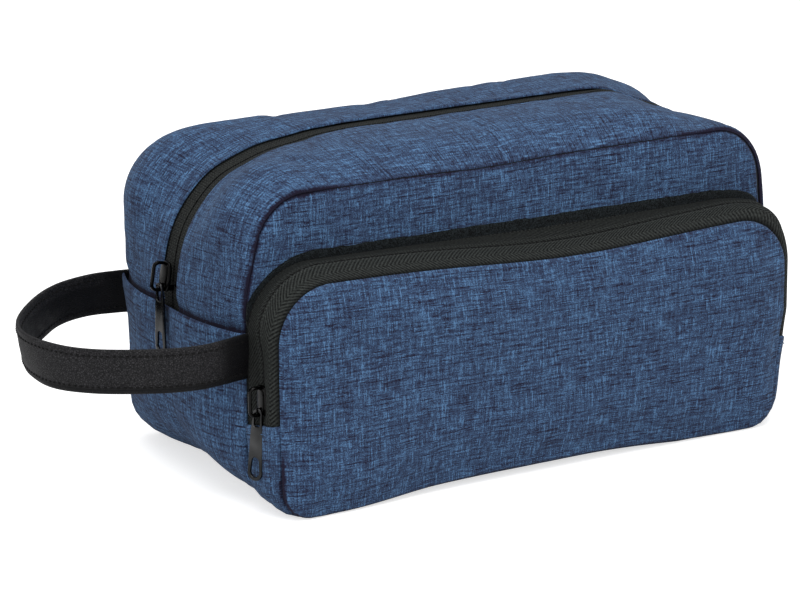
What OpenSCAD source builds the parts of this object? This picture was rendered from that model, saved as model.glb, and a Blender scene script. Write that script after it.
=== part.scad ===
// Shaving kit bag: a padded cloth box with a zip over its crown, a zipped pocket on its
// front and a carry strap sewn into one end. X runs along the bag with the strap at -X,
// the pocket faces -Y, and the origin is the centre of the base on the table.

/* [Bag body] */
// Length of the front and back panels
body_l = 252; // [220:1:290]
// Depth over the front and back panels
body_d = 106; // [90:1:120]
// Height of the front and back panels
body_h = 128; // [118:1:145]
// Radius of the panels' top corners
top_r = 28; // [22:1:34]
// Radius of the panels' bottom corners
base_r = 16; // [12:1:20]
// How far the stuffed gusset bulges beyond the panels' edges
crown = 10.5; // [8:0.5:13]
// How far the bottom corners are pressed flat on the table
base_press = 0.5; // [0.3:0.1:1.5]
// Radius of the curve that the main zip takes round the top corners
zip_turn_r = 62; // [54:1:70]
// Radius of the stuffed end's curve in to the base
foot_r = 26; // [20:1:30]
// Radius of the gusset's rounded shoulders beside the panels
shoulder_r = 14; // [12:1:16]
// How far the gusset's edge is turned in behind a panel's edge
seam_tuck = 3; // [2:0.5:4]
// How far the end panels' top edges lie below the start of the zip's corner curves
end_drop = 3; // [2:1:8]

/* [Cloth] */
// Thickness of the outer cloth
shell_t = 1.2; // [1:0.1:1.5]
// Thickness of the foam padding
pad_t = 2; // [1.5:0.1:3]
// Thickness of the lining
lining_t = 0.6; // [0.4:0.1:0.9]
// Thickness of the tape that binds the inside seams
binding_t = 1; // [0.8:0.1:1.4]
// Width of the tape that binds the inside seams
binding_w = 6; // [4:0.5:9]

/* [Zips] */
// Width of one zip tape of the main zip
tape_w = 14; // [12:0.5:18]
// Thickness of a zip tape
tape_t = 0.6; // [0.5:0.1:0.8]
// Width of one coil
coil_w = 3.1; // [2.8:0.1:3.3]
// Thickness of a coil
coil_t = 2.2; // [1.8:0.1:2.4]
// Half of the slot between the two coils
coil_gap = 0.5; // [0.5:0.05:0.6]
// Half of the zip's width that shows between the cloth edges
zip_show = 5.6; // [4.5:0.1:6]
// How far the main zip runs on under the end panels
zip_tuck = 8; // [5:1:12]
// How far round its corner curve the main slider is parked, in degrees
park_turn = 9; // [9:1:30]

/* [Sliders and pulls] */
// Length of a slider
slider_l = 13; // [11:0.5:13]
// Width of a slider
slider_w = 8.4; // [8.2:0.1:8.5]
// Thickness of a slider's plates
plate_t = 1.4; // [1.2:0.1:1.6]
// Length of a pull tab from its pin to its tip
pull_l = 29.5; // [26:0.5:36]
// Width of a pull tab
pull_w = 7; // [6:0.5:8]
// Thickness of a pull tab
pull_t = 1.4; // [1.2:0.1:1.4]
// Length of the straight sides of a pull tab's oval hole
pull_hole_l = 4; // [2:0.5:6]

/* [Front pocket] */
// How far the pocket stands out from the front panel
pocket_d = 24; // [20:1:28]
// Height of the pocket
pocket_h = 93; // [88:1:98]
// Radius of the pocket's top corners
pocket_top_r = 28; // [24:1:36]
// Radius of the pocket's bottom corners
pocket_base_r = 18; // [12:1:22]
// Height of the pocket's bottom edge above the table
pocket_lift = 2; // [1:0.5:5]
// How far the pocket's sides stand in from the panel's edges
pocket_inset = 3; // [1.5:0.5:5]
// Height of the cloth gusset below the pocket zip
pocket_gusset_h = 34; // [26:1:38]
// Height of the black band that lies on the front panel above the pocket
band_h = 9; // [6:0.5:10]
// Distance from the front panel to the middle of the pocket zip
pocket_zip_y = 10; // [9:0.5:11]
// How far the pocket slider is parked above its zip's lower end
pocket_park = 5.5; // [3:0.5:10]

/* [Carry strap] */
// Width of the strap
strap_w = 20; // [16:1:24]
// Thickness of the strap, over its two layers
strap_t = 2.4; // [2:0.2:3]
// Length of the strap's straight sides, beyond its swing line
strap_reach = 12; // [6:1:30]
// Distance from the panel's edge to the line that the strap swings about
strap_root = 12; // [12:0.5:18]

/* [Hidden] */
$fn = 96;
wide_fn = 960;                          // for the crown's wide arc

cloth_blue = [0.16, 0.27, 0.45];
lining_grey = [0.35, 0.36, 0.38];
foam_white = [0.85, 0.85, 0.82];
tape_black = [0.09, 0.09, 0.08];
metal_black = [0.06, 0.06, 0.06];
strap_black = [0.12, 0.12, 0.12];

slip = 0.3;                             // room between pieces that move past each other
snug = 0.2;                             // room between pieces that lie side by side
ply = 0.15;                             // room between curved layers that lie on each other
over = 1;                               // how far a cutting shape runs past what it cuts

gusset_y = body_d / 2 - shell_t;        // half the width of the gusset, between the panels
inner_y = gusset_y - pad_t - lining_t;  // where the padded panels end inside
shoulder_x = -shoulder_r * 5 / 14;      // the shoulder's centre, against the panel's edge
shoulder_y = gusset_y - sqrt(shoulder_r * shoulder_r - shoulder_x * shoulder_x);
rise = crown - shoulder_x;
// the crown's wide arc runs smoothly into both shoulders
crown_r = (rise * rise + shoulder_y * shoulder_y - shoulder_r * shoulder_r)
    / (2 * (rise - shoulder_r));
curve_x = body_l / 2 - top_r;           // where the panels' top corner curves start
curve_z = body_h - top_r;
turn_ease = 0.5;                        // the turned outline stands off the straight crown
turn_x = body_l / 2 + crown + turn_ease - zip_turn_r;   // centre of the zip's corner curve
turn_z = body_h + crown + turn_ease - zip_turn_r;
end_panel_z = turn_z - end_drop;        // the height of the end panels' top edges
tape_depth = shell_t + ply;             // the main zip lies under the gusset's cloth
coil_depth = tape_depth + tape_t + ply;
pad_depth = shell_t + ply;
lining_depth = pad_depth + pad_t + ply;
pad_top_z = end_panel_z - zip_tuck - 2 * snug;
base_z = base_r - base_press;           // where the bottom corner curves start
flap_x = turn_x - slip;                 // half the length of a mouth flap

pocket_x = body_l / 2 - pocket_inset;
pocket_back = -body_d / 2;
pocket_front = pocket_back - pocket_d;
band_t = tape_t;
zip_y = pocket_back - pocket_zip_y;
pocket_coil_depth = tape_t + ply;
pocket_zip_z = pocket_lift + pocket_gusset_h;
fold_z = pocket_lift + pocket_h - pocket_top_r;   // the pocket flap folds where the corners start

strap_z = end_panel_z - strap_w / 2;
strap_pivot_x = -(body_l / 2 + strap_root);
strap_mid_y = body_d / 2;

// ---------- sections and runs of the gusset ----------

// Everything under the gusset's bulged surface, sunk by depth: a wide arc and two shoulders
module under_crown(depth, half_y) {
    reach = (crown_r + shoulder_r) / (crown_r - shoulder_r);
    wedge_x = crown - crown_r + reach * (shoulder_x - crown + crown_r);
    intersection() {
        union() {
            intersection() {
                translate([crown - crown_r, 0]) circle(r = crown_r - depth, $fn = wide_fn);
                polygon([[crown - crown_r, 0], [wedge_x, -reach * shoulder_y],
                         [wedge_x, reach * shoulder_y]]);
            }
            for (side = [-1, 1])
                translate([shoulder_x, side * shoulder_y]) circle(r = shoulder_r - depth);
        }
        translate([-seam_tuck, -half_y]) square([seam_tuck + crown + over, 2 * half_y]);
    }
}

// A layer of the gusset between two depths, from y0 to y1
module gusset_section(d0, d1, y0, y1) {
    intersection() {
        difference() {
            under_crown(d0, gusset_y);
            under_crown(d1, gusset_y);
        }
        translate([-top_r / 2, y0]) square([top_r / 2 + crown + over, y1 - y0]);
    }
}

// The straight top run, half_l to either side of the middle
module top_run(half_l) {
    translate([0, 0, body_h]) rotate([0, -90, 0])
        linear_extrude(2 * half_l, center = true) children();
}

// What fills the +X end under the bulged surface, from z0 up and over its top corner to x0
module corner_form(depth, half_y, x0, z0) {
    module slice() {
        under_crown(depth, half_y);
        translate([-top_r, -half_y]) square([top_r - seam_tuck, 2 * half_y]);
    }
    intersection() {
        union() {
            translate([body_l / 2, 0, z0]) linear_extrude(curve_z - z0) slice();
            translate([curve_x, 0, curve_z]) mirror([0, 1, 0]) rotate([90, 0, 0])
                rotate_extrude(angle = 90) translate([top_r, 0]) slice();
            translate([x0, 0, body_h]) rotate([90, 0, 90]) linear_extrude(curve_x - x0)
                rotate(90) slice();
            translate([x0, -half_y, z0]) cube([curve_x - x0, 2 * half_y, body_h - top_r - z0]);
            translate([x0, -half_y, curve_z - over])
                cube([curve_x - x0, 2 * half_y, top_r + over - seam_tuck]);
        }
        turned_prism(depth);
    }
}

// The outline that the gusset's middle follows, flat across the bag's depth
module turned_prism(depth) {
    upright(-body_d, body_d) translate([0, -turn_ease])
        rounded_panel(body_l / 2 + crown + turn_ease, body_h + crown + 2 * turn_ease,
                      zip_turn_r, foot_r, depth);
}

// A layer of the gusset round the +X top corner, between two depths, from y0 to y1
module corner_layer(d0, d1, y0, y1, z0 = end_panel_z) {
    intersection() {
        difference() {
            corner_form(d0, gusset_y, turn_x, z0);
            corner_form(d1, gusset_y + over, turn_x - over, z0 - over);
        }
        translate([0, y0, 0]) cube([body_l, y1 - y0, 2 * body_h]);
    }
}

module both_ends() {
    children();
    mirror([1, 0, 0]) children();
}

module to_back() {
    mirror([0, 1, 0]) children();
}

// A flat shape drawn in X and Z, thick from y0 to y1
module upright(y0, y1) {
    translate([0, y1, 0]) rotate([90, 0, 0]) linear_extrude(y1 - y0) children();
}

// A rectangle with large top corners and small bottom ones, set in by inset
module rounded_panel(half_l, h, r_top, r_base, inset = 0) {
    for (side = [-1, 1]) {
        translate([side * (half_l - r_top), h - r_top]) circle(r = r_top - inset);
        translate([side * (half_l - r_base), r_base]) circle(r = r_base - inset);
    }
    translate([-(half_l - r_top), r_base]) square([2 * (half_l - r_top), h - inset - r_base]);
    translate([-(half_l - inset), r_base]) square([2 * (half_l - inset), h - r_top - r_base]);
    translate([-(half_l - r_base), inset]) square([2 * (half_l - r_base), r_base]);
}

// The outline of the front and back panels, pressed flat at its foot
module body_outline(inset = 0) {
    intersection() {
        translate([0, -base_press])
            rounded_panel(body_l / 2, body_h + base_press, top_r, base_r, inset);
        translate([-body_l, inset]) square([2 * body_l, body_h]);
    }
}

// ---------- panels ----------

// One large panel, with its padding and lining behind it, on the -Y side
module panel_layer(y_out, thick, inset) {
    upright(-y_out, -y_out + thick) body_outline(inset);
}

module front_panel() { color(cloth_blue) panel_layer(body_d / 2, shell_t, 0); }
module front_padding() { color(foam_white) panel_layer(gusset_y, pad_t, seam_tuck + snug); }
module front_lining() {
    color(lining_grey) panel_layer(gusset_y - pad_t, lining_t, seam_tuck + snug);
}
module back_panel() { to_back() front_panel(); }
module back_padding() { to_back() front_padding(); }
module back_lining() { to_back() front_lining(); }

// The tape that binds the inside seam of a panel, folded against its lining
module front_seam_binding() {
    seam_depth = lining_depth + lining_t + snug;
    color(tape_black) upright(-inner_y, -inner_y + binding_w) difference() {
        body_outline(seam_depth);
        body_outline(seam_depth + binding_t);
    }
}
module back_seam_binding() { to_back() front_seam_binding(); }

// ---------- base and end panels, one strip ----------

// The filled lower part of the bag, under the gusset's surface by depth, flat at its base
module lower_form(depth, half_y, z_top) {
    module slice() {
        under_crown(depth, half_y);
        translate([-base_r, -half_y]) square([base_r - seam_tuck, 2 * half_y]);
    }
    intersection() {
        both_ends() {
            translate([body_l / 2, 0, base_z]) linear_extrude(z_top - base_z) slice();
            translate([body_l / 2 - base_r, 0, base_z]) rotate([90, 0, 0])
                rotate_extrude(angle = -90) translate([base_r, 0]) slice();
        }
        turned_prism(depth);
        translate([-body_l, -body_d, depth]) cube([2 * body_l, 2 * body_d, body_h]);
    }
    translate([-(body_l / 2 - base_r + over), -half_y, depth])
        cube([body_l - 2 * base_r + 2 * over, 2 * half_y, z_top - depth]);
}

module lower_layer(d0, d1, half_y, z_top) {
    difference() {
        lower_form(d0, half_y, z_top);
        lower_form(d1, half_y + over, z_top + over);
    }
}

module base_gusset() { color(cloth_blue) lower_layer(0, shell_t, gusset_y, end_panel_z); }
module base_padding() {
    color(foam_white) lower_layer(pad_depth, pad_depth + pad_t, inner_y - snug, pad_top_z);
}
module base_lining() {
    color(lining_grey)
        lower_layer(lining_depth, lining_depth + lining_t, inner_y - snug, pad_top_z);
}

// ---------- zip gusset, front half at the two ends and along the top ----------

tape_edge_y = coil_gap + tape_w;

module zip_gusset_front_right() {
    color(cloth_blue) corner_layer(0, shell_t, -gusset_y, -zip_show);
}
module zip_gusset_front_left() { mirror([1, 0, 0]) zip_gusset_front_right(); }
module zip_gusset_back_right() { to_back() zip_gusset_front_right(); }
module zip_gusset_back_left() { to_back() zip_gusset_front_left(); }

module zip_lining_front_ends() {
    color(lining_grey) both_ends()
        corner_layer(pad_depth, pad_depth + lining_t, -inner_y + snug, -tape_edge_y - snug);
}
module zip_lining_back_ends() { to_back() zip_lining_front_ends(); }

module main_tape_front_ends() {
    color(tape_black) both_ends()
        corner_layer(tape_depth, tape_depth + tape_t, -tape_edge_y, -coil_gap,
                     end_panel_z - zip_tuck);
}
module main_tape_back_ends() { to_back() main_tape_front_ends(); }

module main_coil_front_ends() {
    color(tape_black) both_ends()
        corner_layer(coil_depth, coil_depth + coil_t, -coil_gap - coil_w, -coil_gap,
                     end_panel_z - zip_tuck);
}
module main_coil_back_ends() { to_back() main_coil_front_ends(); }

module front_flap() {
    color(cloth_blue) top_run(flap_x) gusset_section(0, shell_t, -gusset_y + slip, -zip_show);
}
module front_flap_lining() {
    color(lining_grey) top_run(flap_x)
        gusset_section(pad_depth, pad_depth + lining_t, -inner_y + snug, -tape_edge_y - snug);
}
module front_flap_tape() {
    color(tape_black) top_run(flap_x)
        gusset_section(tape_depth, tape_depth + tape_t, -tape_edge_y, -coil_gap);
}
module front_flap_coil() {
    color(tape_black) top_run(flap_x)
        gusset_section(coil_depth, coil_depth + coil_t, -coil_gap - coil_w, -coil_gap);
}
module back_flap() { to_back() front_flap(); }
module back_flap_lining() { to_back() front_flap_lining(); }
module back_flap_tape() { to_back() front_flap_tape(); }
module back_flap_coil() { to_back() front_flap_coil(); }

// ---------- sliders and pulls ----------
// Drawn lying flat: X across the zip, +Y up the closed zip, Z out of the tape's face at z = 0.

nose_y = -slider_l / 2;
pin_r = 0.6;
bail_w = 2.2;
bail_l = slider_l - 0.6;
bail_bar = 1.2;
arm_w = 0.9;
pull_neck = 5;                          // from the pin to the tab's shoulder
plate_lift = slip;                      // the top plate rides clear of the tape
plate_top = plate_lift + plate_t;
pin_z = plate_top + 3 * slip + pin_r;   // the pin turns at the top of the bail's window
bail_top = pin_z + pin_r + snug + bail_bar;
pin_y = -bail_l / 2 + bail_bar + snug + pin_r;
channel_floor = -(tape_t + ply + coil_t + 3 * slip);    // room for the tape's curve

module slider_plate() {
    tail = slider_w * 0.7;
    nose = slider_w * 0.62;
    polygon([[-tail / 2, -nose_y], [tail / 2, -nose_y], [slider_w / 2, slider_l * 0.15],
             [slider_w / 2, -slider_l * 0.3], [nose / 2, nose_y], [-nose / 2, nose_y],
             [-slider_w / 2, -slider_l * 0.3], [-slider_w / 2, slider_l * 0.15]]);
}

// Two plates joined by the nose post, with walls that hold the coils
module slider_form() {
    flange_x = coil_gap + coil_w + slip;
    flange_w = 0.7;
    post_w = coil_gap;
    translate([0, 0, plate_lift]) linear_extrude(plate_t) slider_plate();
    translate([0, 0, channel_floor - plate_t]) linear_extrude(plate_t)
        intersection() {
            square([2 * (flange_x + flange_w), slider_l], center = true);
            scale(1.12) slider_plate();
        }
    for (side = [-1, 1])
        translate([side * (flange_x + flange_w / 2) - flange_w / 2, -slider_l * 0.3, channel_floor])
            cube([flange_w, slider_l * 0.45, coil_t]);
    translate([-post_w / 2, nose_y + slip, channel_floor])
        cube([post_w, slider_l * 0.15, plate_lift - channel_floor]);
}

module bail_form() {
    difference() {
        translate([-bail_w / 2, -bail_l / 2, plate_top]) cube([bail_w, bail_l, bail_top - plate_top]);
        translate([-bail_w, -bail_l / 2 + bail_bar, plate_top - over])
            cube([2 * bail_w, bail_l - 2 * bail_bar, bail_top - bail_bar - plate_top + over]);
    }
}

// The tab hangs from its pin towards -Y, turned in by lean, with an oval finger hole near its tip
module pull_form(lean = 0) {
    arm_x = bail_w / 2 + slip;
    tip_r = pull_w / 2;
    hole_r = pull_w * 0.27;
    translate([0, pin_y, pin_z]) rotate([lean, 0, 0]) {
        translate([-(arm_x + arm_w), 0, 0]) rotate([0, 90, 0])
            cylinder(r = pin_r, h = 2 * (arm_x + arm_w));
        for (side = [-1, 1])
            translate([side * (arm_x + arm_w / 2) - arm_w / 2, -pull_neck - over, -pin_r])
                cube([arm_w, pull_neck + over, 2 * pin_r]);
        translate([0, 0, -pull_t / 2]) linear_extrude(pull_t) difference() {
            union() {
                translate([0, -(pull_l - tip_r)]) circle(r = tip_r);
                polygon([[-tip_r, -(pull_l - tip_r)], [tip_r, -(pull_l - tip_r)],
                         [arm_x + arm_w, -pull_neck], [-(arm_x + arm_w), -pull_neck]]);
            }
            for (along = [tip_r, tip_r + pull_hole_l])
                translate([0, -(pull_l - along)]) circle(r = hole_r);
            translate([-hole_r, -(pull_l - tip_r)]) square([2 * hole_r, pull_hole_l]);
        }
    }
}

// The slider rides on the zip's corner curve, a little way round it
module on_main_zip() {
    translate([-turn_x, 0, turn_z]) rotate([0, park_turn, 0])
        translate([-(zip_turn_r - tape_depth), 0, 0]) rotate([90, 0, -90]) children();
}

pocket_park_z = pocket_zip_z + pocket_park + slider_l / 2;
module on_pocket_zip() {
    translate([-pocket_x, zip_y, pocket_park_z]) rotate([90, 0, -90]) children();
}

module main_slider() { color(metal_black) on_main_zip() slider_form(); }
module main_slider_bail() { color(metal_black) on_main_zip() bail_form(); }
module main_pull() { color(metal_black) on_main_zip() pull_form(park_turn); }
module pocket_slider() { color(metal_black) on_pocket_zip() slider_form(); }
module pocket_slider_bail() { color(metal_black) on_pocket_zip() bail_form(); }
module pocket_pull() { color(metal_black) on_pocket_zip() pull_form(); }

// ---------- front pocket ----------

module pocket_outline(inset = 0) {
    translate([0, pocket_lift])
        rounded_panel(pocket_x, pocket_h, pocket_top_r, pocket_base_r, inset);
}

// A layer of the pocket's side wall between two depths, kept from z0 to z1
module pocket_wall(d0, d1, z0, z1) {
    intersection() {
        difference() {
            pocket_outline(d0);
            pocket_outline(d1);
        }
        translate([-body_l, z0]) square([2 * body_l, z1 - z0]);
    }
}

// The black band that lies on the front panel round the pocket's zip
module pocket_band() {
    color(tape_black) upright(pocket_back - band_t, pocket_back) intersection() {
        difference() {
            translate([0, pocket_lift])
                rounded_panel(body_l / 2 - snug, pocket_h + band_h, pocket_top_r + band_h / 2,
                              pocket_base_r);
            pocket_outline(band_h);
        }
        translate([-body_l, pocket_zip_z]) square([2 * body_l, body_h]);
    }
}

module pocket_gusset() {
    color(cloth_blue) upright(pocket_front + shell_t, pocket_back)
        pocket_wall(0, shell_t, 0, pocket_zip_z);
}
module pocket_rear_tape() {
    color(tape_black) upright(zip_y + coil_gap, pocket_back - band_t)
        pocket_wall(0, tape_t, pocket_zip_z, body_h);
}
module pocket_rear_coil() {
    color(tape_black) upright(zip_y + coil_gap, zip_y + coil_gap + coil_w)
        pocket_wall(pocket_coil_depth, pocket_coil_depth + coil_t, pocket_zip_z, body_h);
}
module pocket_front_tape_sides() {
    color(tape_black) upright(pocket_front + shell_t, zip_y - coil_gap)
        pocket_wall(0, tape_t, pocket_zip_z, fold_z - slip);
}
module pocket_front_coil_sides() {
    color(tape_black) upright(zip_y - coil_gap - coil_w, zip_y - coil_gap)
        pocket_wall(pocket_coil_depth, pocket_coil_depth + coil_t, pocket_zip_z, fold_z - slip);
}
module pocket_face_lower() {
    color(cloth_blue) upright(pocket_front, pocket_front + shell_t) intersection() {
        pocket_outline();
        translate([-body_l, 0]) square([2 * body_l, fold_z - slip]);
    }
}
module pocket_flap_face() {
    color(cloth_blue) upright(pocket_front, pocket_front + shell_t) intersection() {
        pocket_outline();
        translate([-body_l, fold_z]) square([2 * body_l, body_h]);
    }
}
module pocket_flap_tape() {
    color(tape_black) upright(pocket_front + shell_t, zip_y - coil_gap)
        pocket_wall(0, tape_t, fold_z, body_h);
}
module pocket_flap_coil() {
    color(tape_black) upright(zip_y - coil_gap - coil_w, zip_y - coil_gap)
        pocket_wall(pocket_coil_depth, pocket_coil_depth + coil_t, fold_z, body_h);
}

// ---------- carry strap ----------

// One layer of the loop, between two distances from its middle line
module strap_layer(r0, r1) {
    bend_x = strap_pivot_x - strap_reach;
    difference() {
        union() {
            translate([bend_x, 0, strap_z - strap_w / 2]) linear_extrude(strap_w)
                intersection() {
                    difference() {
                        circle(r = r1);
                        circle(r = r0);
                    }
                    translate([-2 * r1, -2 * r1]) square([2 * r1, 4 * r1]);
                }
            for (side = [-1, 1])
                translate([0, side * (r0 + r1) / 2, strap_z]) rotate([90, 0, 0])
                    linear_extrude(r1 - r0, center = true) {
                        translate([bend_x, -strap_w / 2]) square([strap_reach, strap_w]);
                        translate([strap_pivot_x, 0]) circle(r = strap_w / 2);
                    }
        }
        translate([-body_l / 2, -body_d, 0]) cube([body_l, 2 * body_d, body_h]);
    }
}

module strap_outer() {
    color(strap_black) strap_layer(strap_mid_y + ply / 2, strap_mid_y + strap_t / 2);
}
module strap_inner() {
    color(strap_black) strap_layer(strap_mid_y - strap_t / 2, strap_mid_y - ply / 2);
}

// The strap's two ends, sewn to the panels' edges, cut hollow to clear the swinging loop
module strap_ends() {
    color(strap_black) for (side = [-1, 1])
        translate([0, side * strap_mid_y, strap_z]) rotate([90, 0, 0])
            linear_extrude(strap_t, center = true) difference() {
                translate([strap_pivot_x, -strap_w / 2]) square([strap_root, strap_w]);
                translate([strap_pivot_x, 0]) circle(r = strap_w / 2 + slip);
            }
}

front_panel();
front_padding();
front_lining();
back_panel();
back_padding();
back_lining();
base_gusset();
base_padding();
base_lining();
zip_gusset_front_left();
zip_gusset_front_right();
zip_gusset_back_left();
zip_gusset_back_right();
zip_lining_front_ends();
zip_lining_back_ends();
main_tape_front_ends();
main_tape_back_ends();
main_coil_front_ends();
main_coil_back_ends();
front_seam_binding();
back_seam_binding();
front_flap();
front_flap_lining();
front_flap_tape();
front_flap_coil();
back_flap();
back_flap_lining();
back_flap_tape();
back_flap_coil();
main_slider();
main_slider_bail();
main_pull();
pocket_band();
pocket_gusset();
pocket_rear_tape();
pocket_rear_coil();
pocket_front_tape_sides();
pocket_front_coil_sides();
pocket_face_lower();
pocket_flap_face();
pocket_flap_tape();
pocket_flap_coil();
pocket_slider();
pocket_slider_bail();
pocket_pull();
strap_ends();
strap_outer();
strap_inner();
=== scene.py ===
# Shaving kit bag: a padded cloth box with a zip over its crown, a zipped pocket on its front
# and a strap loop sewn into its left end. Metres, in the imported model's frame: X runs along
# the bag with the strap at -X, the pocket faces -Y and the table is at Z = 0.

import math

import bmesh
import bpy
import numpy as np
from mathutils import Matrix, Quaternion, Vector


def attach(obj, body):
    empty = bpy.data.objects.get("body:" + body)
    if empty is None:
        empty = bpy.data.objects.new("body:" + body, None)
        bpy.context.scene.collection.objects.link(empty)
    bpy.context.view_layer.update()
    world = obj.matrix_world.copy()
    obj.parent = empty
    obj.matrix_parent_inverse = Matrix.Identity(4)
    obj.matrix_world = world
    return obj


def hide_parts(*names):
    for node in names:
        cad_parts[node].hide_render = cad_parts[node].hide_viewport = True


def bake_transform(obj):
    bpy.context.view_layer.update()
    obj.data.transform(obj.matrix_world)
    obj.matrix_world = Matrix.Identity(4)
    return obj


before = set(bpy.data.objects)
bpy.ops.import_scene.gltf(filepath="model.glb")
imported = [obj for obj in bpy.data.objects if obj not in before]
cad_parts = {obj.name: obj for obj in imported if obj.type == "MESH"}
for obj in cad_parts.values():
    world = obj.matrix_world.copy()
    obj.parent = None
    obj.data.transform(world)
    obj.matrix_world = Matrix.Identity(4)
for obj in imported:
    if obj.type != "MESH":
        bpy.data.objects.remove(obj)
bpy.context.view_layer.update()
MM = 0.001


# ---------- camera ----------
# It looks at the strap's end and the pocket together, from a little above the bag.

camera_turn, camera_rise = math.radians(-30.09), math.radians(16.39)
camera_back = Vector((math.sin(camera_turn) * math.cos(camera_rise),
                      -math.cos(camera_turn) * math.cos(camera_rise), math.sin(camera_rise)))
camera = bpy.data.objects.new("camera", bpy.data.cameras.new("camera"))
camera.data.lens, camera.data.sensor_width = 165.2, 36
camera.location = Vector((-0.02381, 0, 0.0587)) + 1.5649 * camera_back
camera.rotation_euler = (camera_back.to_track_quat("Z", "Y")
                         @ Quaternion((0, 0, 1), math.radians(-0.4))).to_euler()
bpy.context.scene.collection.objects.link(camera)
bpy.context.scene.camera = camera


# ---------- front panel ----------
# The bag's front wall, of melange polyester cloth over foam, woven plain from dark and light
# blue threads. Its edge is turned in at the seam with the gusset, so it dips there.

def add_node(tree, kind, settings, inputs):
    """A node with its settings made and its inputs given as values or as sockets to link."""
    made = tree.nodes.new(kind)
    for name, value in (settings or {}).items():
        setattr(made, name, value)
    for name, value in (inputs or {}).items():
        if isinstance(value, bpy.types.NodeSocket):
            tree.links.new(value, made.inputs[name])
        else:
            made.inputs[name].default_value = value
    return made


class Wire:
    """A shader socket that can be written in sums."""

    def __init__(self, finish, socket):
        self.finish, self.socket = finish, socket

    def __add__(self, other):
        return self.finish.sum("ADD", self, other)

    def __sub__(self, other):
        return self.finish.sum("SUBTRACT", self, other)

    def __rsub__(self, other):
        return self.finish.sum("SUBTRACT", other, self)

    def __mul__(self, other):
        return self.finish.sum("MULTIPLY", self, other)

    __radd__, __rmul__ = __add__, __mul__


class Finish:
    """A material whose nodes are made one by one, each giving back its output as a Wire."""

    def __init__(self, name, **constants):
        self.material = bpy.data.materials.new(name)
        self.material.use_nodes = True
        self.tree = self.material.node_tree
        self.surface = self.tree.nodes["Principled BSDF"]
        for socket, value in constants.items():
            self.surface.inputs[socket.replace("_", " ")].default_value = value

    def node(self, kind, settings=None, inputs=None, out=0):
        plain = {name: value.socket if isinstance(value, Wire) else value
                 for name, value in (inputs or {}).items()}
        return Wire(self, add_node(self.tree, kind, settings, plain).outputs[out])

    def sum(self, operation, a, b=0.0, c=0.0):
        return self.node("ShaderNodeMath", {"operation": operation}, {0: a, 1: b, 2: c})

    def point(self, x=0.0, y=0.0, z=0.0):
        return self.node("ShaderNodeCombineXYZ", {}, {0: x, 1: y, 2: z})

    def blotches(self, place, scale=1.0, detail=2.0, roughness=0.5):
        return self.node("ShaderNodeTexNoise", {},
                         {"Vector": place, "Scale": scale, "Detail": detail,
                          "Roughness": roughness})

    def spread(self, value, low, high, to_low=0.0, to_high=1.0):
        return self.node("ShaderNodeMapRange", {},
                         {0: value, 1: low, 2: high, 3: to_low, 4: to_high})

    def colours(self, value, stops):
        made = self.node("ShaderNodeValToRGB", {}, {0: value})
        ramp = made.socket.node.color_ramp
        while len(ramp.elements) < len(stops):
            ramp.elements.new(0.5)
        for element, (place, colour) in zip(ramp.elements, stops):
            element.position, element.color = place, (*colour, 1)
        return made

    def shades(self, value, dark, light):
        return self.colours(value, [(0.0, dark), (1.0, light)])

    def weave_mm(self):
        """Across and along the cloth, in millimetres, from the piece's own UV map."""
        mapped = self.node("ShaderNodeUVMap", {"uv_map": "weave"})
        split = self.tree.nodes.new("ShaderNodeSeparateXYZ")
        self.tree.links.new(mapped.socket, split.inputs[0])
        return Wire(self, split.outputs[0]) * 1000.0, Wire(self, split.outputs[1]) * 1000.0

    def feed(self, **wires):
        for socket, wire in wires.items():
            self.tree.links.new(wire.socket, self.surface.inputs[socket.replace("_", " ")])
        return self

    def relief(self, height, depth, strength=1.0):
        bump = self.node("ShaderNodeBump", {},
                         {"Height": height, "Distance": depth, "Strength": strength})
        return self.feed(Normal=bump)


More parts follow.
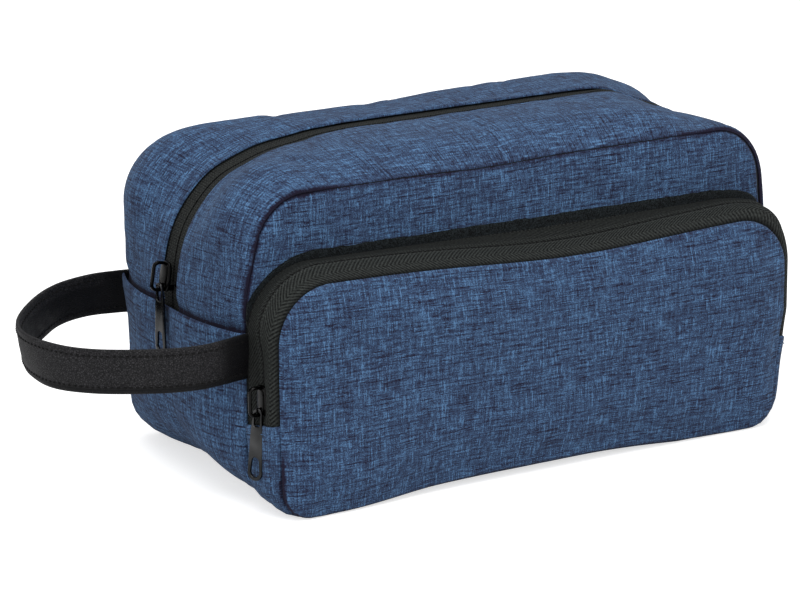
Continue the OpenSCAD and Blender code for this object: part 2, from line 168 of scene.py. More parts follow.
def melange(name, dark, middle, light, warp_share=0.36, dashes=0.32, slubs=0.32, thread=0.5):
    """Plain weave of slub yarns: each thread keeps its own shade for a few millimetres."""
    cloth = Finish(name, Roughness=0.9, Specular_IOR_Level=0.1, Sheen_Weight=0.04,
                   Sheen_Roughness=0.6)
    across, along = cloth.weave_mm()
    warp_no = cloth.sum("FLOOR", across * (1 / thread))
    weft_no = cloth.sum("FLOOR", along * (1 / thread))
    warp = cloth.blotches(cloth.point(warp_no * 3.173 + 0.37, along * 0.12, 0.5), 1, 3, 0.6)
    weft = cloth.blotches(cloth.point(weft_no * 2.731 + 57.4, across * 0.12, 4.5), 1, 3, 0.6)
    warp = cloth.spread(warp, 0.33, 0.67)
    weft = cloth.spread(weft, 0.33, 0.67)
    over = cloth.sum("MODULO", cloth.sum("ABSOLUTE", warp_no + weft_no), 2.0)
    fibre = cloth.blotches(cloth.point(across * 1.7, along * 1.7, 6.2), 1, 1)
    patch = cloth.blotches(cloth.point(across * 0.05, along * 0.05, 9.1), 1, 3)
    shade = (weft * (0.72 - warp_share) + warp * warp_share + (over - 0.5) * (warp - weft) * 0.35
             + cloth.spread(fibre, 0.3, 0.7, 0.0, 0.42) + patch * 0.14 - 0.13)
    dash = cloth.blotches(cloth.point(weft_no * 4.37 + 11.8, across * 0.11, 7.7), 1, 1)
    slub = cloth.blotches(cloth.point(warp_no * 5.11 + 31.2, along * 0.15, 2.6), 1, 1)
    thick = cloth.sum("LESS_THAN", cloth.sum("FRACT", weft_no * 0.25), 0.1)
    heavy = cloth.blotches(cloth.point(across * 0.09, weft_no * 1.9, 3.3), 1, 1)
    shade = shade - cloth.spread(dash, 0.61, 0.70, 0.0, dashes)
    shade = shade - thick * cloth.spread(heavy, 0.40, 0.62, 0.0, dashes * 0.7)
    shade = shade + cloth.spread(slub, 0.62, 0.72, 0.0, slubs)
    warp_side = cloth.sum("FRACT", across * (1 / thread)) - 0.5
    weft_side = cloth.sum("FRACT", along * (1 / thread)) - 0.5
    warp_round = 1 - warp_side * warp_side * 4.0
    weft_round = 1 - weft_side * weft_side * 4.0
    height = weft_round + over * (warp_round - weft_round)
    # Painted shade: the cloth is darkened where its seam attribute is 1, in the creases of its
    # seams.
    crease = cloth.node("ShaderNodeAttribute", {"attribute_name": "seam"}, {}, 2)
    shade = shade - crease * 0.8
    cloth.feed(Base_Color=cloth.colours(shade, [(0.0, dark), (0.48, middle), (1.0, light)]))
    cloth.relief(height + shade * 0.4, 0.00010, 0.6)
    return cloth.material


blue_melange = melange("melange_cloth", (0.011, 0.0085, 0.024), (0.034, 0.060, 0.124),
                       (0.100, 0.215, 0.400))
blue_lengthwise = melange("melange_gusset", (0.011, 0.0090, 0.024), (0.034, 0.061, 0.126),
                          (0.100, 0.215, 0.400), 0.46, 0.28, 0.28)


def run_down(half, top, top_r, foot, foot_r):
    """One side of a rounded outline, from the middle of its top to the middle of its foot, as
    points X and Z with the distance walked to each."""
    turn = np.radians(np.linspace(0, 90, 46))
    x = np.concatenate([[0], half - top_r + top_r * np.sin(turn),
                        half - foot_r + foot_r * np.cos(turn), [0]])
    z = np.concatenate([[top], top - top_r + top_r * np.cos(turn),
                        foot + foot_r - foot_r * np.sin(turn), [foot]])
    walked = np.concatenate([[0], np.cumsum(np.hypot(np.diff(x), np.diff(z)))])
    return x, z, walked


def on_run(run, walked):
    return np.interp(walked, run[2], run[0]), np.interp(walked, run[2], run[1])


def walk_along(line):
    """The distance walked to each point of a line."""
    return np.concatenate([[0], np.cumsum(np.linalg.norm(np.diff(line, axis=0), axis=1))])


def walked_to(run, height):
    return np.interp(-height, -run[1], run[2])


def half_width(run, z):
    """How far out the outline stands at each height."""
    return np.interp(z, run[1][1:-1][::-1], run[0][1:-1][::-1])


def inset_from(run, x, z):
    """How far inside the outline a point lies."""
    ends = np.stack(run[:2], -1)
    far = np.full(np.shape(x), 1e9)
    for (ax, az), (bx, bz) in zip(ends[:-1], ends[1:]):
        length = max((bx - ax) ** 2 + (bz - az) ** 2, 1e-12)
        t = np.clip(((np.abs(x) - ax) * (bx - ax) + (z - az) * (bz - az)) / length, 0, 1)
        far = np.minimum(far, np.hypot(np.abs(x) - ax - t * (bx - ax), z - az - t * (bz - az)))
    return far


def steps(length, step, near=(0.15, 0.45, 0.9, 1.5, 2.3, 3.4, 4.8)):
    """Places across a width, closer together beside its two seams."""
    middle = np.linspace(near[-1] + step * 0.7, length - near[-1] - step * 0.7,
                         max(2, round((length - 2 * near[-1]) / step)))
    return np.concatenate([[0], near, middle, length - np.array(near)[::-1], [length]])


def grid(first, second):
    return np.meshgrid(first, second, indexing="ij")


def hump(at, middle, width, power=2):
    """1 at the middle, falling away to nearly 0 two widths from it."""
    return np.exp(-((at - middle) / width) ** power)


def outward(place):
    """Unit normals of a grid of points."""
    normal = np.cross(np.gradient(place, axis=0), np.gradient(place, axis=1))
    return normal / np.maximum(np.linalg.norm(normal, axis=2, keepdims=True), 1e-9)


def lay_weave(mesh, flat):
    """Gives each vertex its place on the flat cloth, in metres, as a UV map."""
    corners = np.empty(len(mesh.loops), int)
    mesh.loops.foreach_get("vertex_index", corners)
    mesh.uv_layers.new(name="weave").data.foreach_set("uv", flat[corners].ravel())


def shell(name, outer, weave, material, depth=0.0, thick=1.2, seam=None):
    """A closed piece of cloth. outer is a grid of points in millimetres whose second index runs
    to the left of the first as seen from outside; the cloth lies between depth and depth + thick
    behind it. seam is 1 where the cloth lies in the crease of a seam; it is kept as an attribute
    that the melange material darkens as painted shade."""
    rows, columns = outer.shape[:2]
    normal = outward(outer)
    front, back = outer - normal * depth, outer - normal * (depth + thick)
    place = np.concatenate([front.reshape(-1, 3), back.reshape(-1, 3)]) * MM
    index = np.arange(rows * columns).reshape(rows, columns)
    a, b, c, d = index[:-1, :-1], index[1:, :-1], index[1:, 1:], index[:-1, 1:]
    faces = np.stack([a, b, c, d], -1).reshape(-1, 4)
    under = faces[:, ::-1] + rows * columns
    edge = np.concatenate([index[:, 0], index[-1, 1:], index[-2::-1, -1], index[0, -2:0:-1]])
    after = np.roll(edge, -1)
    rim = np.stack([after, edge, edge + rows * columns, after + rows * columns], -1)
    mesh = bpy.data.meshes.new(name)
    mesh.from_pydata(place.tolist(), [], np.concatenate([faces, under, rim]).tolist())
    lay_weave(mesh, np.tile(weave.reshape(-1, 2), (2, 1)) * MM)
    if seam is not None:
        mesh.attributes.new("seam", "FLOAT", "POINT").data.foreach_set(
            "value", np.tile(np.broadcast_to(seam, outer.shape[:2]).ravel(), 2))
    return finished(name, mesh, material, 55)


def carried(places, values, at):
    """Values known at some places along the first index, drawn smoothly through others."""
    slope = np.gradient(values, places, axis=0)
    k = np.clip(np.searchsorted(places, at, "right") - 1, 0, len(places) - 2)
    span = (places[k + 1] - places[k])[:, None, None]
    t = (at - places[k])[:, None, None] / span
    return ((1 + 2 * t) * (1 - t) ** 2 * values[k] + t * (1 - t) ** 2 * span * slope[k]
            + t * t * (3 - 2 * t) * values[k + 1] + t * t * (t - 1) * span * slope[k + 1])


def pressed_out(outer, most=1.4, held=False, spacing=4.5):
    """The grid after its filling has pressed on it. A coarse copy, held along its seams, is
    simulated as cloth under pressure, and the grid takes its movement, at most so many
    millimetres."""
    walks, picks = [], []
    for line in (outer[:, outer.shape[1] // 2], outer[outer.shape[0] // 2]):
        walk = walk_along(line)
        even = np.linspace(0, walk[-1], max(5, round(walk[-1] / spacing)))
        walks.append(walk)
        picks.append(np.unique(np.clip(np.searchsorted(walk, even), 0, len(walk) - 1)))
    coarse = outer[np.ix_(*picks)]
    pinned = np.broadcast_to(held, outer.shape[:2])[np.ix_(*picks)].copy()
    pinned[0] = pinned[-1] = pinned[:, 0] = pinned[:, -1] = True
    index = np.arange(pinned.size).reshape(pinned.shape)
    faces = np.stack([index[:-1, :-1], index[1:, :-1], index[1:, 1:], index[:-1, 1:]], -1)
    mesh = bpy.data.meshes.new("filling")
    mesh.from_pydata((coarse.reshape(-1, 3) * MM).tolist(), [], faces.reshape(-1, 4).tolist())
    sheet = bpy.data.objects.new("filling", mesh)
    scene = bpy.context.scene
    scene.collection.objects.link(sheet)
    sheet.vertex_groups.new(name="held").add(index[pinned].tolist(), 1.0, "REPLACE")
    cloth = sheet.modifiers.new("filling", "CLOTH")
    cloth.point_cache.frame_start, cloth.point_cache.frame_end = 1, 24
    cloth.settings.quality = 6
    cloth.settings.use_pressure = True
    cloth.settings.uniform_pressure_force = 4.0
    cloth.settings.effector_weights.gravity = 0.0
    cloth.settings.vertex_group_mass = "held"
    cloth.settings.shrink_min = -0.006
    cloth.settings.bending_stiffness = 0.05
    for frame_number in range(1, 21):
        scene.frame_set(frame_number)
    swollen = sheet.evaluated_get(bpy.context.evaluated_depsgraph_get()).data
    place = np.empty(pinned.size * 3, np.float32)
    swollen.vertices.foreach_get("co", place)
    bpy.data.objects.remove(sheet)
    bpy.data.meshes.remove(mesh)
    scene.frame_set(1)
    moved = place.reshape(coarse.shape) / MM - coarse
    far = np.linalg.norm(moved, axis=2, keepdims=True)
    moved *= most * np.tanh(far / most) / np.maximum(far, 1e-6)
    moved = carried(walks[0][picks[0]], moved, walks[0]).swapaxes(0, 1)
    return outer + carried(walks[1][picks[1]], moved, walks[1]).swapaxes(0, 1)


def finished(name, mesh, material, sharp=40):
    """The mesh as a piece, smooth but for edges sharper than the angle given."""
    mesh.validate()
    mesh.polygons.foreach_set("use_smooth", [True] * len(mesh.polygons))
    mesh.set_sharp_from_angle(angle=math.radians(sharp))
    mesh.materials.clear()
    mesh.materials.append(material)
    piece = bpy.data.objects.new(name, mesh)
    bpy.context.scene.collection.objects.link(piece)
    return piece


def turned_in(inset, drop=1.6):
    """How far a cloth's rounded edge falls away beside its seam."""
    return drop - np.sqrt(drop ** 2 - (drop - np.clip(inset, 0, drop)) ** 2)


def eased(share):
    """0 to 1, leaving and arriving gently."""
    share = np.clip(share, 0, 1)
    return share * share * (3 - 2 * share)


def drift(a, b, seed, size=1.0):
    """Slow unevenness of stuffed cloth, about size millimetres high."""
    rough = np.zeros(np.broadcast(a, b).shape)
    chance = np.random.default_rng(seed)
    for wave in (95, 62, 41, 29, 21):
        tilt, phase = chance.uniform(0, math.pi), chance.uniform(0, 2 * math.pi)
        rough = rough + (wave / 95) * np.sin(
            2 * math.pi * (a * math.cos(tilt) + b * math.sin(tilt)) / wave + phase)
    return size * rough / 2.2


panel_run = run_down(125.2, 127.3, 22.5, 0.4, 19.5)
front_y, back_y = -53.0, 53.0


def drawn_in(x, z):
    """How far the front seam's upper corners are pulled towards the middle by the filling."""
    high = eased((z - 84) / 28)
    return high * (4.8 * eased((-x - 70) / 40) - 1.2 * eased((x - 70) / 40))


def seam_dip(x, z):
    """How far the front seam sinks at its middle."""
    return (0.9 * hump(x, -12, 24) - 0.4) * np.clip((z - 110) / 16, 0, 1)


def near_corner(x):
    """0 along the middle of the bag, 1 from its rounded corners out."""
    return eased((np.abs(x) - 80) / 25)


def tightened(x, z):
    """How tightly the front seam is drawn in: 1 at its upper corners, 0 along its middle."""
    return near_corner(x) * eased((z - 88) / 14)


def panel_grid(run, step=3.0):
    """A grid of X and Z that fills a rounded outline."""
    top, foot = run[1].max(), run[1].min()
    height = foot + steps(top - foot, step)
    share = steps(2 * run[0].max(), step) / run[0].max() - 1
    z = np.repeat(height[None, :], len(share), 0)
    return share[:, None] * half_width(run, z), z


def front_face_y(x, z):
    """The front wall's outside, out to the seam."""
    inset = inset_from(panel_run, x, z)
    swell = 1.2 * (1 - np.exp(-inset / 11)) + 0.35 * drift(x, z, 3) * np.clip(inset / 14, 0, 1)
    return front_y - swell + turned_in(inset, 0.5 + 1.9 * tightened(x, z))


x, z = panel_grid(panel_run)
front_place = np.stack([x + drawn_in(x, z), front_face_y(x, z), z - seam_dip(x, z)], -1)
# Its seam values paint shade in the crease along the seam, more towards the corners.
front_cloth = shell("front_cloth", pressed_out(front_place, 1.0, z < 104),
                    np.stack([x, z], -1), blue_melange,
                    seam=hump(inset_from(panel_run, x, z), 0, 0.7)
                    * (0.5 + 0.5 * near_corner(x)))
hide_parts("front_panel", "front_padding")
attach(front_cloth, "bag")


# ---------- back panel ----------
# The same melange cloth and cut as the front panel, seamed to the gusset all round. Nothing is
# sewn on it, so its foam crowns more.

def back_face_y(x, z):
    inset = inset_from(panel_run, x, z)
    swell = 3.4 * (1 - np.exp(-inset / 24)) + 0.7 * drift(x, z, 8) * np.clip(inset / 20, 0, 1)
    return back_y + swell - turned_in(inset, 1.7)


back_cloth = shell("back_cloth", pressed_out(np.stack([-x, back_face_y(-x, z), z], -1), 1.2),
                   np.stack([-x + 400, z + 210], -1), blue_melange)
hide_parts("back_panel", "back_padding")
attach(back_cloth, "bag")


# ---------- end panels and base ----------
# One padded strip of the same cloth from the left end's stitched hem down, under the bag and
# up to the right end's. Its hem is folded and lies over the zip gusset and the zip's end.

zip_run = run_down(134.4, 137.4, 59.6, 0.0, 36.0)
shoulder_run = run_down(133.6, 137.2, 33.0, 0.0, 31.0)
hem_z = 74.0
gusset_half, seam_half = 52.6, 52.9
cloth_run, lap_scale = 176.0, 126


def gusset(share, y, lift=0.0):
    """The stuffed gusset as a grid. share is 0 at the middle of the top, 1 at the end panels'
    hems and 2 at the middle of the base, with the sign of the side that it is on."""
    far = np.abs(share)
    (px, pz), (zx, zz), (sx, sz) = (on_run(run, np.interp(far, (0, 1, 2), (
        0, walked_to(run, hem_z), run[2][-1]))) for run in (panel_run, zip_run, shoulder_run))
    left, right = share < 0, eased((share - 0.55) / 0.2)
    near_zip = hump(y, 0, 20)
    fuller = eased((np.abs(y) - 6) / 32) * np.where(left, 1.0, np.where(y > 0, 0.55, 0.1))
    cx, cz = zx + (sx - zx) * fuller, zz + (sz - zz) * fuller
    stand = 1 - (np.abs(y) / seam_half) ** (7 - 3.4 * eased((far - 0.5) / 0.45))
    x = np.sign(share) * (px + (cx - px) * stand)
    crest = (1.0 * eased((x + 70) / 25) * (1 - eased((x - 60) / 45))
             - 2.2 * hump(x, -88, 18.5, 4))
    fallen = 2.0 * hump(x, 96, 11) - 0.8 * hump(x, 113, 8)
    front_half = (crest * (0.45 + 0.55 * near_zip) - fallen
                  - 1.2 * hump(x, 86, 11) * (1 - near_zip)
                  - 1.5 * hump(x, 99, 17) * (1 - hump(y, 0, 6)))
    back_half = (crest - fallen) * near_zip - (1 - near_zip) * (
        1.4 * hump(x, -33, 34, 4) + 1.9 * hump(x, 107, 9))
    z = pz + (cz - pz) * stand + stand * (far < 1) * np.where(y < 0, front_half, back_half)
    low = left * eased((far - 0.78) / 0.16) * (1 - np.abs(y) / gusset_half)
    front = np.clip(-y / gusset_half, 0, 1) ** 1.5
    place = np.stack([x + drawn_in(x, z) * front + 0.9 * low * near_zip, y - 1.6 * low,
                      z - seam_dip(x, z) * front], -1)
    seam = gusset_half - np.abs(y)
    deep = 0.5 + 0.9 * near_corner(x)
    swell = (deep + (0.75 - deep) * (1 - np.exp(-seam / 8)) - turned_in(seam, deep)
             + 0.3 * hump(seam, 2.8, 1.5) + 1.3 * right * hump(seam, 7, 6)
             + 0.55 * drift(share * cloth_run, y, 21) * np.clip(seam / 12, 0, 1)
             * np.clip((np.abs(y) - 6) / 12, 0, 1))
    return place + outward(place) * (swell * np.clip(z / 14, 0, 1) + lift)[..., None]


def past_hem(share):
    """How far past the hem: the middle of the base, 190 mm along the cloth, is at lap_scale, so
    a step of 1 is about 1.5 mm of cloth."""
    return (np.abs(share) - 1) * lap_scale


def hem_rise(share):
    """The folded hem stands off the cloth below it."""
    return 1.8 * hump(past_hem(share), 0, 10)


def there_and_back(down):
    """Shares from the left end under the bag to the right end."""
    return np.concatenate([-down, down[::-1][1:]])


def under_weave(share, y, scale, start=0):
    """The weave's place, counted both ways from the middle of the base."""
    return np.stack([y, (2 - np.abs(share)) * np.sign(share) * scale + start], -1)


down = 1 + np.concatenate([[0, 0.001, 0.0025, 0.0045, 0.008, 0.014, 0.024, 0.04],
                           np.linspace(0.06, 1, 44)])
lap = there_and_back(down)
share, y = grid(lap, gusset_half - steps(2 * gusset_half, 3.0))
end_place = pressed_out(
    gusset(share, y, hem_rise(share) - turned_in(past_hem(share), 0.8)), 1.2)
end_place[..., 2] = np.maximum(end_place[..., 2], 0.02)
base_cloth = shell("base_cloth", end_place, under_weave(share, y, lap_scale), blue_lengthwise)
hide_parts("base_gusset", "base_padding")
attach(base_cloth, "bag")


# ---------- zip gusset ----------
# Two strips of the cloth over the bag from hem to hem, one each side of the zip, with their
# edges folded at the zip.

def slot_half(share):
    """How far each fold stands from the middle of the zip."""
    return np.interp(share, (-1, -0.5, -0.3, -0.12, 0.05, 0.3, 0.5, 1),
                     (6.6, 7.0, 6.3, 7.0, 6.2, 5.6, 4.8, 4.8))


flaps = ((-1, "front", "front_flap"), (1, "back", "back_flap"))
ends = ((-1, "left"), (1, "right"))
mouth_blends, strips = {}, {}
along = np.concatenate([np.linspace(0, 0.96, 62), [
    0.972, 0.982, 0.989, 0.994, 0.998, 1.002, 1.008, 1.02]])
along = np.concatenate([-along[:0:-1], along])
middle = len(along) // 2
for depth_side, side_name, flap in flaps:
    side = np.sort(depth_side * steps(44.5, 2.8)) / 44.5
    share, across = grid(along, side)
    slot = slot_half(share)
    y = np.sign(depth_side) * slot + across * (gusset_half - slot)
    fold = turned_in(np.abs(y) - slot, 0.8) + 1.2 * hump(past_hem(share), 0, 2.6)
    strip_place = pressed_out(gusset(share, y, -fold), 1.2)
    strip_weave = np.stack([y + 90 * depth_side, share * cloth_run + 310], -1)
    # Painted shade for the cloth: darker below z = 75.3, where it runs under the hem's folded edge
    # and the edge shades it, and in the crease along the gusset's seams, more towards the ends.
    crease_shade = (0.8 * np.clip((75.3 - strip_place[..., 2]) / 0.6, 0, 1)
                 + hump(gusset_half - np.abs(y), 0, 0.8)
                 * (0.3 + 0.6 * eased((np.abs(share) - 0.42) / 0.14)))
    for end, end_name, part in ((-1, "left", slice(0, middle + 1)),
                                (1, "right", slice(middle, None))):
        strips[side_name, end_name] = strip_place[part], strip_weave[part], side
        strip = shell(f"zip_gusset_cloth_{side_name}_{end_name}", strip_place[part],
                      strip_weave[part], blue_lengthwise, seam=crease_shade[part])
        mouth_blends[side_name, end_name] = (
            "bag", flap, (end * 0.100, 0, 0), (end * 0.060, 0, 0))
        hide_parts(f"zip_gusset_{side_name}_{end_name}", flap)
        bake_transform(strip)


# ---------- main zip ----------
# Two knitted polyester tapes, coil side in, so the smooth side shows between the cloth's
# folds. Their coils of nylon wire lie behind them, beside the line where the tapes meet.

def knit_tape(name, dark, light, wale=1.75, pitch=1.25):
    """Warp-knitted tape: upright rows of V-shaped loops."""
    tape = Finish(name, Roughness=0.85, Specular_IOR_Level=0.15)
    across, along = tape.weave_mm()
    side = tape.sum("ABSOLUTE", tape.sum("FRACT", across * (1 / wale)) - 0.5) * 2.0
    loops = tape.sum("SINE", (along * (1 / pitch) + side * 0.55) * (2 * math.pi)) * 0.5 + 0.5
    ground = tape.blotches(tape.point(across * 1.3, along * 1.3, 2.0), 1, 3, 0.7)
    shade = loops * (1 - side * side * 0.6) * 0.55 + tape.spread(ground, 0.36, 0.66, -0.2, 0.6)
    tape.feed(Base_Color=tape.shades(shade, dark, light))
    tape.relief(shade, 0.0003, 0.8)
    return tape.material


black_knit = knit_tape("zip_tape", (0.0006, 0.0009, 0.0012), (0.047, 0.051, 0.049))
zip_depth = 1.7


def zip_rise(share, y):
    """How far the zip's middle stands up between the folds over the right shoulder."""
    over = eased((share - 0.36) / 0.12) * (1 - eased((share - 0.8) / 0.1))
    return 1.2 * over * (1 - eased((np.abs(y) - 2.6) / 2.0))


tape_edge = 14.5
tape_end = 1.065
for depth_side, side_name, flap in flaps:
    for end, end_name in ends:
        share, y = grid(np.sort(end * np.linspace(0, tape_end, 80)), np.sort(
            depth_side * np.array([0.12, 0.35, 0.8, 2, 3.3, 4.6, 6, 8, 11, tape_edge])))
        meet = zip_rise(share, y) - 0.15 * hump(y, 0, 0.5)
        tape = shell(f"main_tape_{side_name}_{end_name}", gusset(share, y, meet),
                     np.stack([np.abs(y), share * cloth_run], -1), black_knit, zip_depth, 0.6)
        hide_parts(f"main_tape_{side_name}_ends", f"{flap}_tape")
        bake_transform(tape)


def made_real(source):
    """The plain mesh that an object's modifier or curve ends in. The object itself goes."""
    bpy.context.scene.collection.objects.link(source)
    bpy.context.view_layer.update()
    mesh = bpy.data.meshes.new_from_object(
        source.evaluated_get(bpy.context.evaluated_depsgraph_get()))
    bpy.data.objects.remove(source)
    return mesh


class Tree:
    """A Geometry Nodes tree, made node by node."""

    def __init__(self, name, numbers):
        self.group = bpy.data.node_groups.new(name, "GeometryNodeTree")
        face = self.group.interface
        face.new_socket("Geometry", in_out="OUTPUT", socket_type="NodeSocketGeometry")
        self.sockets = {}
        for label, kind in [("Path", "NodeSocketGeometry"), *((n, "NodeSocketFloat") for n in
                            numbers), ("Material", "NodeSocketMaterial")]:
            self.sockets[label] = face.new_socket(label, in_out="INPUT", socket_type=kind)
        self.inputs = self.group.nodes.new("NodeGroupInput")

    def given(self, label):
        return self.inputs.outputs[label]

    def node(self, kind, settings=None, inputs=None, out=0):
        return add_node(self.group, kind, settings, inputs).outputs[out]

    def sum(self, operation, a, b):
        return self.node("ShaderNodeMath", {"operation": operation}, {0: a, 1: b})

    def spaced(self):
        """Points along the path, one pitch apart."""
        line = self.node("GeometryNodeMeshToCurve", {}, {0: self.given("Path")})
        return self.node("GeometryNodeResampleCurve", {"mode": "LENGTH"},
                         {"Curve": line, "Length": self.given("Pitch")})

    def end(self, geometry):
        """Makes the instances real, paints them and hands them out."""
        real = self.node("GeometryNodeRealizeInstances", {}, {0: geometry})
        painted = self.node("GeometryNodeSetMaterial", {},
                            {"Geometry": real, "Material": self.given("Material")})
        out = self.group.nodes.new("NodeGroupOutput")
        self.group.links.new(painted, out.inputs[0])
        return self

    def along(self, name, paths, material, **numbers):
        """Runs the tree on lines of points in millimetres and gives back one plain piece."""
        mesh = bpy.data.meshes.new(name)
        points, links = [], []
        for path in paths:
            links += [(len(points) + i, len(points) + i + 1) for i in range(len(path) - 1)]
            points += [tuple(p) for p in np.asarray(path) * MM]
        mesh.from_pydata(points, links, [])
        source = bpy.data.objects.new(name + "_path", mesh)
        made = source.modifiers.new("rule", "NODES")
        made.node_group = self.group
        made[self.sockets["Material"].identifier] = material
        for label, value in numbers.items():
            made[self.sockets[label.replace("_", " ")].identifier] = value
        result = made_real(source)
        result.name = name
        return finished(name, result, material, 80)


def facing(tree, across):
    """A turn that sets an instance's Z along the path and its X to the direction given."""
    tangent = tree.node("GeometryNodeInputTangent")
    along = tree.node("FunctionNodeAlignRotationToVector", {"axis": "Z"}, {"Vector": tangent})
    return tree.node("FunctionNodeAlignRotationToVector", {"axis": "X", "pivot_axis": "Z"},
                     {"Rotation": along, "Vector": across})


def coil_tree():
    """Flattened turns of nylon wire set side by side along a path in X and Z."""
    tree = Tree("coil", ("Pitch", "Width", "Height", "Wire"))
    spaced = tree.spaced()
    ring = tree.node("GeometryNodeCurvePrimitiveCircle", {}, {"Resolution": 9, "Radius": 1.0})
    size = tree.node("ShaderNodeCombineXYZ", {},
                     {0: tree.sum("MULTIPLY", tree.given("Width"), 0.5),
                      1: tree.sum("MULTIPLY", tree.given("Height"), 0.5), 2: 1.0})
    oval = tree.node("GeometryNodeTransform", {}, {"Geometry": ring, "Scale": size})
    wire = tree.node("GeometryNodeCurvePrimitiveCircle", {},
                     {"Resolution": 4, "Radius": tree.given("Wire")})
    turn = tree.node("GeometryNodeCurveToMesh", {}, {0: oval, "Profile Curve": wire})
    placed = tree.node("GeometryNodeInstanceOnPoints", {},
                       {"Points": spaced, "Instance": turn, "Rotation": facing(tree, (0, 1, 0))})
    return tree.end(placed)


nylon = Finish("zip_coil", Base_Color=(0.011, 0.011, 0.010, 1), Roughness=0.38)
wear = nylon.blotches(nylon.node("ShaderNodeTexCoord", {}, {}, 3), 900, 2)
nylon.feed(Roughness=nylon.spread(wear, 0.3, 0.7, 0.3, 0.48))
nylon_black = nylon.material
coil = coil_tree()
coil_size = {"Pitch": 1.45 * MM, "Width": 3.1 * MM, "Height": 2.2 * MM, "Wire": 0.36 * MM}
coil_depth = zip_depth + 0.75 + 1.1
for depth_side, side_name, flap in flaps:
    for end, end_name in ends:
        share, y = grid(np.sort(end * np.linspace(0.004, tape_end, 90)),
                        np.sort(depth_side * np.array([1.85, 2.05, 2.25])))
        middle = gusset(share, y, zip_rise(share, y))
        slope = np.gradient(middle[:, 1], axis=0)
        inward = np.stack([slope[:, 2], 0 * slope[:, 0], -slope[:, 0]], -1)
        inward /= np.linalg.norm(inward, axis=1, keepdims=True)
        teeth = coil.along(f"main_coil_{side_name}_{end_name}",
                           [middle[:, 1] + inward * coil_depth], nylon_black, **coil_size)
        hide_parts(f"main_coil_{side_name}_ends", f"{flap}_coil")
        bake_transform(teeth)


# ---------- hem stitches ----------
# The end panels' hems are topstitched across the gusset with dark polyester thread, one row
# along each hem, every stitch sunk in the cloth at both ends.

def stitch_tree():
    """Short lengths of thread laid end to end along a path, each sunk at both ends."""
    tree = Tree("stitches", ("Pitch", "Length", "Thread"))
    spaced = tree.spaced()
    bead = tree.node("GeometryNodeMeshUVSphere", {},
                     {"Segments": 6, "Rings": 5, "Radius": 1.0})
    size = tree.node("ShaderNodeCombineXYZ", {},
                     {0: tree.given("Thread"), 1: tree.given("Thread"),
                      2: tree.sum("MULTIPLY", tree.given("Length"), 0.5)})
    laid = tree.node("GeometryNodeInstanceOnPoints", {},
                     {"Points": spaced, "Instance": bead, "Scale": size,
                      "Rotation": facing(tree, (0, 0, 1))})
    return tree.end(laid)


def thread(name, dark, light):
    """Twisted polyester sewing thread."""
    yarn = Finish(name, Roughness=0.7, Specular_IOR_Level=0.2)
    place = yarn.node("ShaderNodeTexCoord", {}, {}, 3)
    twist = yarn.node("ShaderNodeTexWave", {"wave_type": "BANDS", "bands_direction": "DIAGONAL"},
                      {"Vector": place, "Scale": 900.0, "Distortion": 1.0}, 1)
    yarn.feed(Base_Color=yarn.shades(twist, dark, light))
    return yarn.relief(twist, 0.00006, 0.6).material


navy_thread = thread("navy_thread", (0.010, 0.013, 0.030), (0.022, 0.030, 0.062))
stitches = stitch_tree()
hem_rows = []
for end in (-1, 1):
    share, y = grid(np.sort(end * np.array([1.028, 1.030, 1.032]))[::-1],
                    np.linspace(49.6, -49.6, 90))
    hem_rows.append(gusset(share, y, hem_rise(share) + 0.02)[1])
hem_stitches = stitches.along("hem_stitches", hem_rows, navy_thread,
                              Pitch=3.3 * MM, Length=2.3 * MM, Thread=0.26 * MM)
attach(hem_stitches, "bag")


# ---------- pocket band ----------
# A black brushed band sewn flat on the front panel round the pocket's top and sides, with
# the rear half of the pocket's zip sewn to it.

pocket_back_run = run_down(125.8, 99.2, 28.0, 0.5, 15.0)
pocket_chain_run = run_down(126.4, 100.2, 29.0, 0.4, 15.0)
pocket_face_run = run_down(122.6, 94.8, 23.5, 0.1, 12.5)
pocket_ys = (-75.0, -63.0, -53.6)
pocket_ends = (39.0, 36.4, 34.6)
face_sag, face_front_y = (4.3, 3.2), -76.4
band_end = 36.0
pocket_walk = walked_to(pocket_chain_run, pocket_ends[1])


def sagged(x, z, dip, arch, corner=0.0):
    """The pocket's top sinks and tilts a little, its foot is drawn up along its middle, its
    right side leans in towards its foot and its right top corner is squarer than its left."""
    top = np.clip(z / 95, 0, 1)
    low = np.clip(1 - z / 58, 0, 1)
    filled = corner * np.exp(-((x - 117) / 11) ** 2 - ((z - 91) / 11) ** 2)
    lean = 4.6 * np.clip((50 - z) / 36, 0, 1) ** 0.8 * eased(x / 100)
    z = (z - 0.011 * x * top - dip * hump(x, 17, 60) * top ** 4
         + arch * hump(x, -2, 70, 4) * low ** 2 + 2.6 * filled)
    return np.stack([x - lean + 3.4 * filled, z], -1)


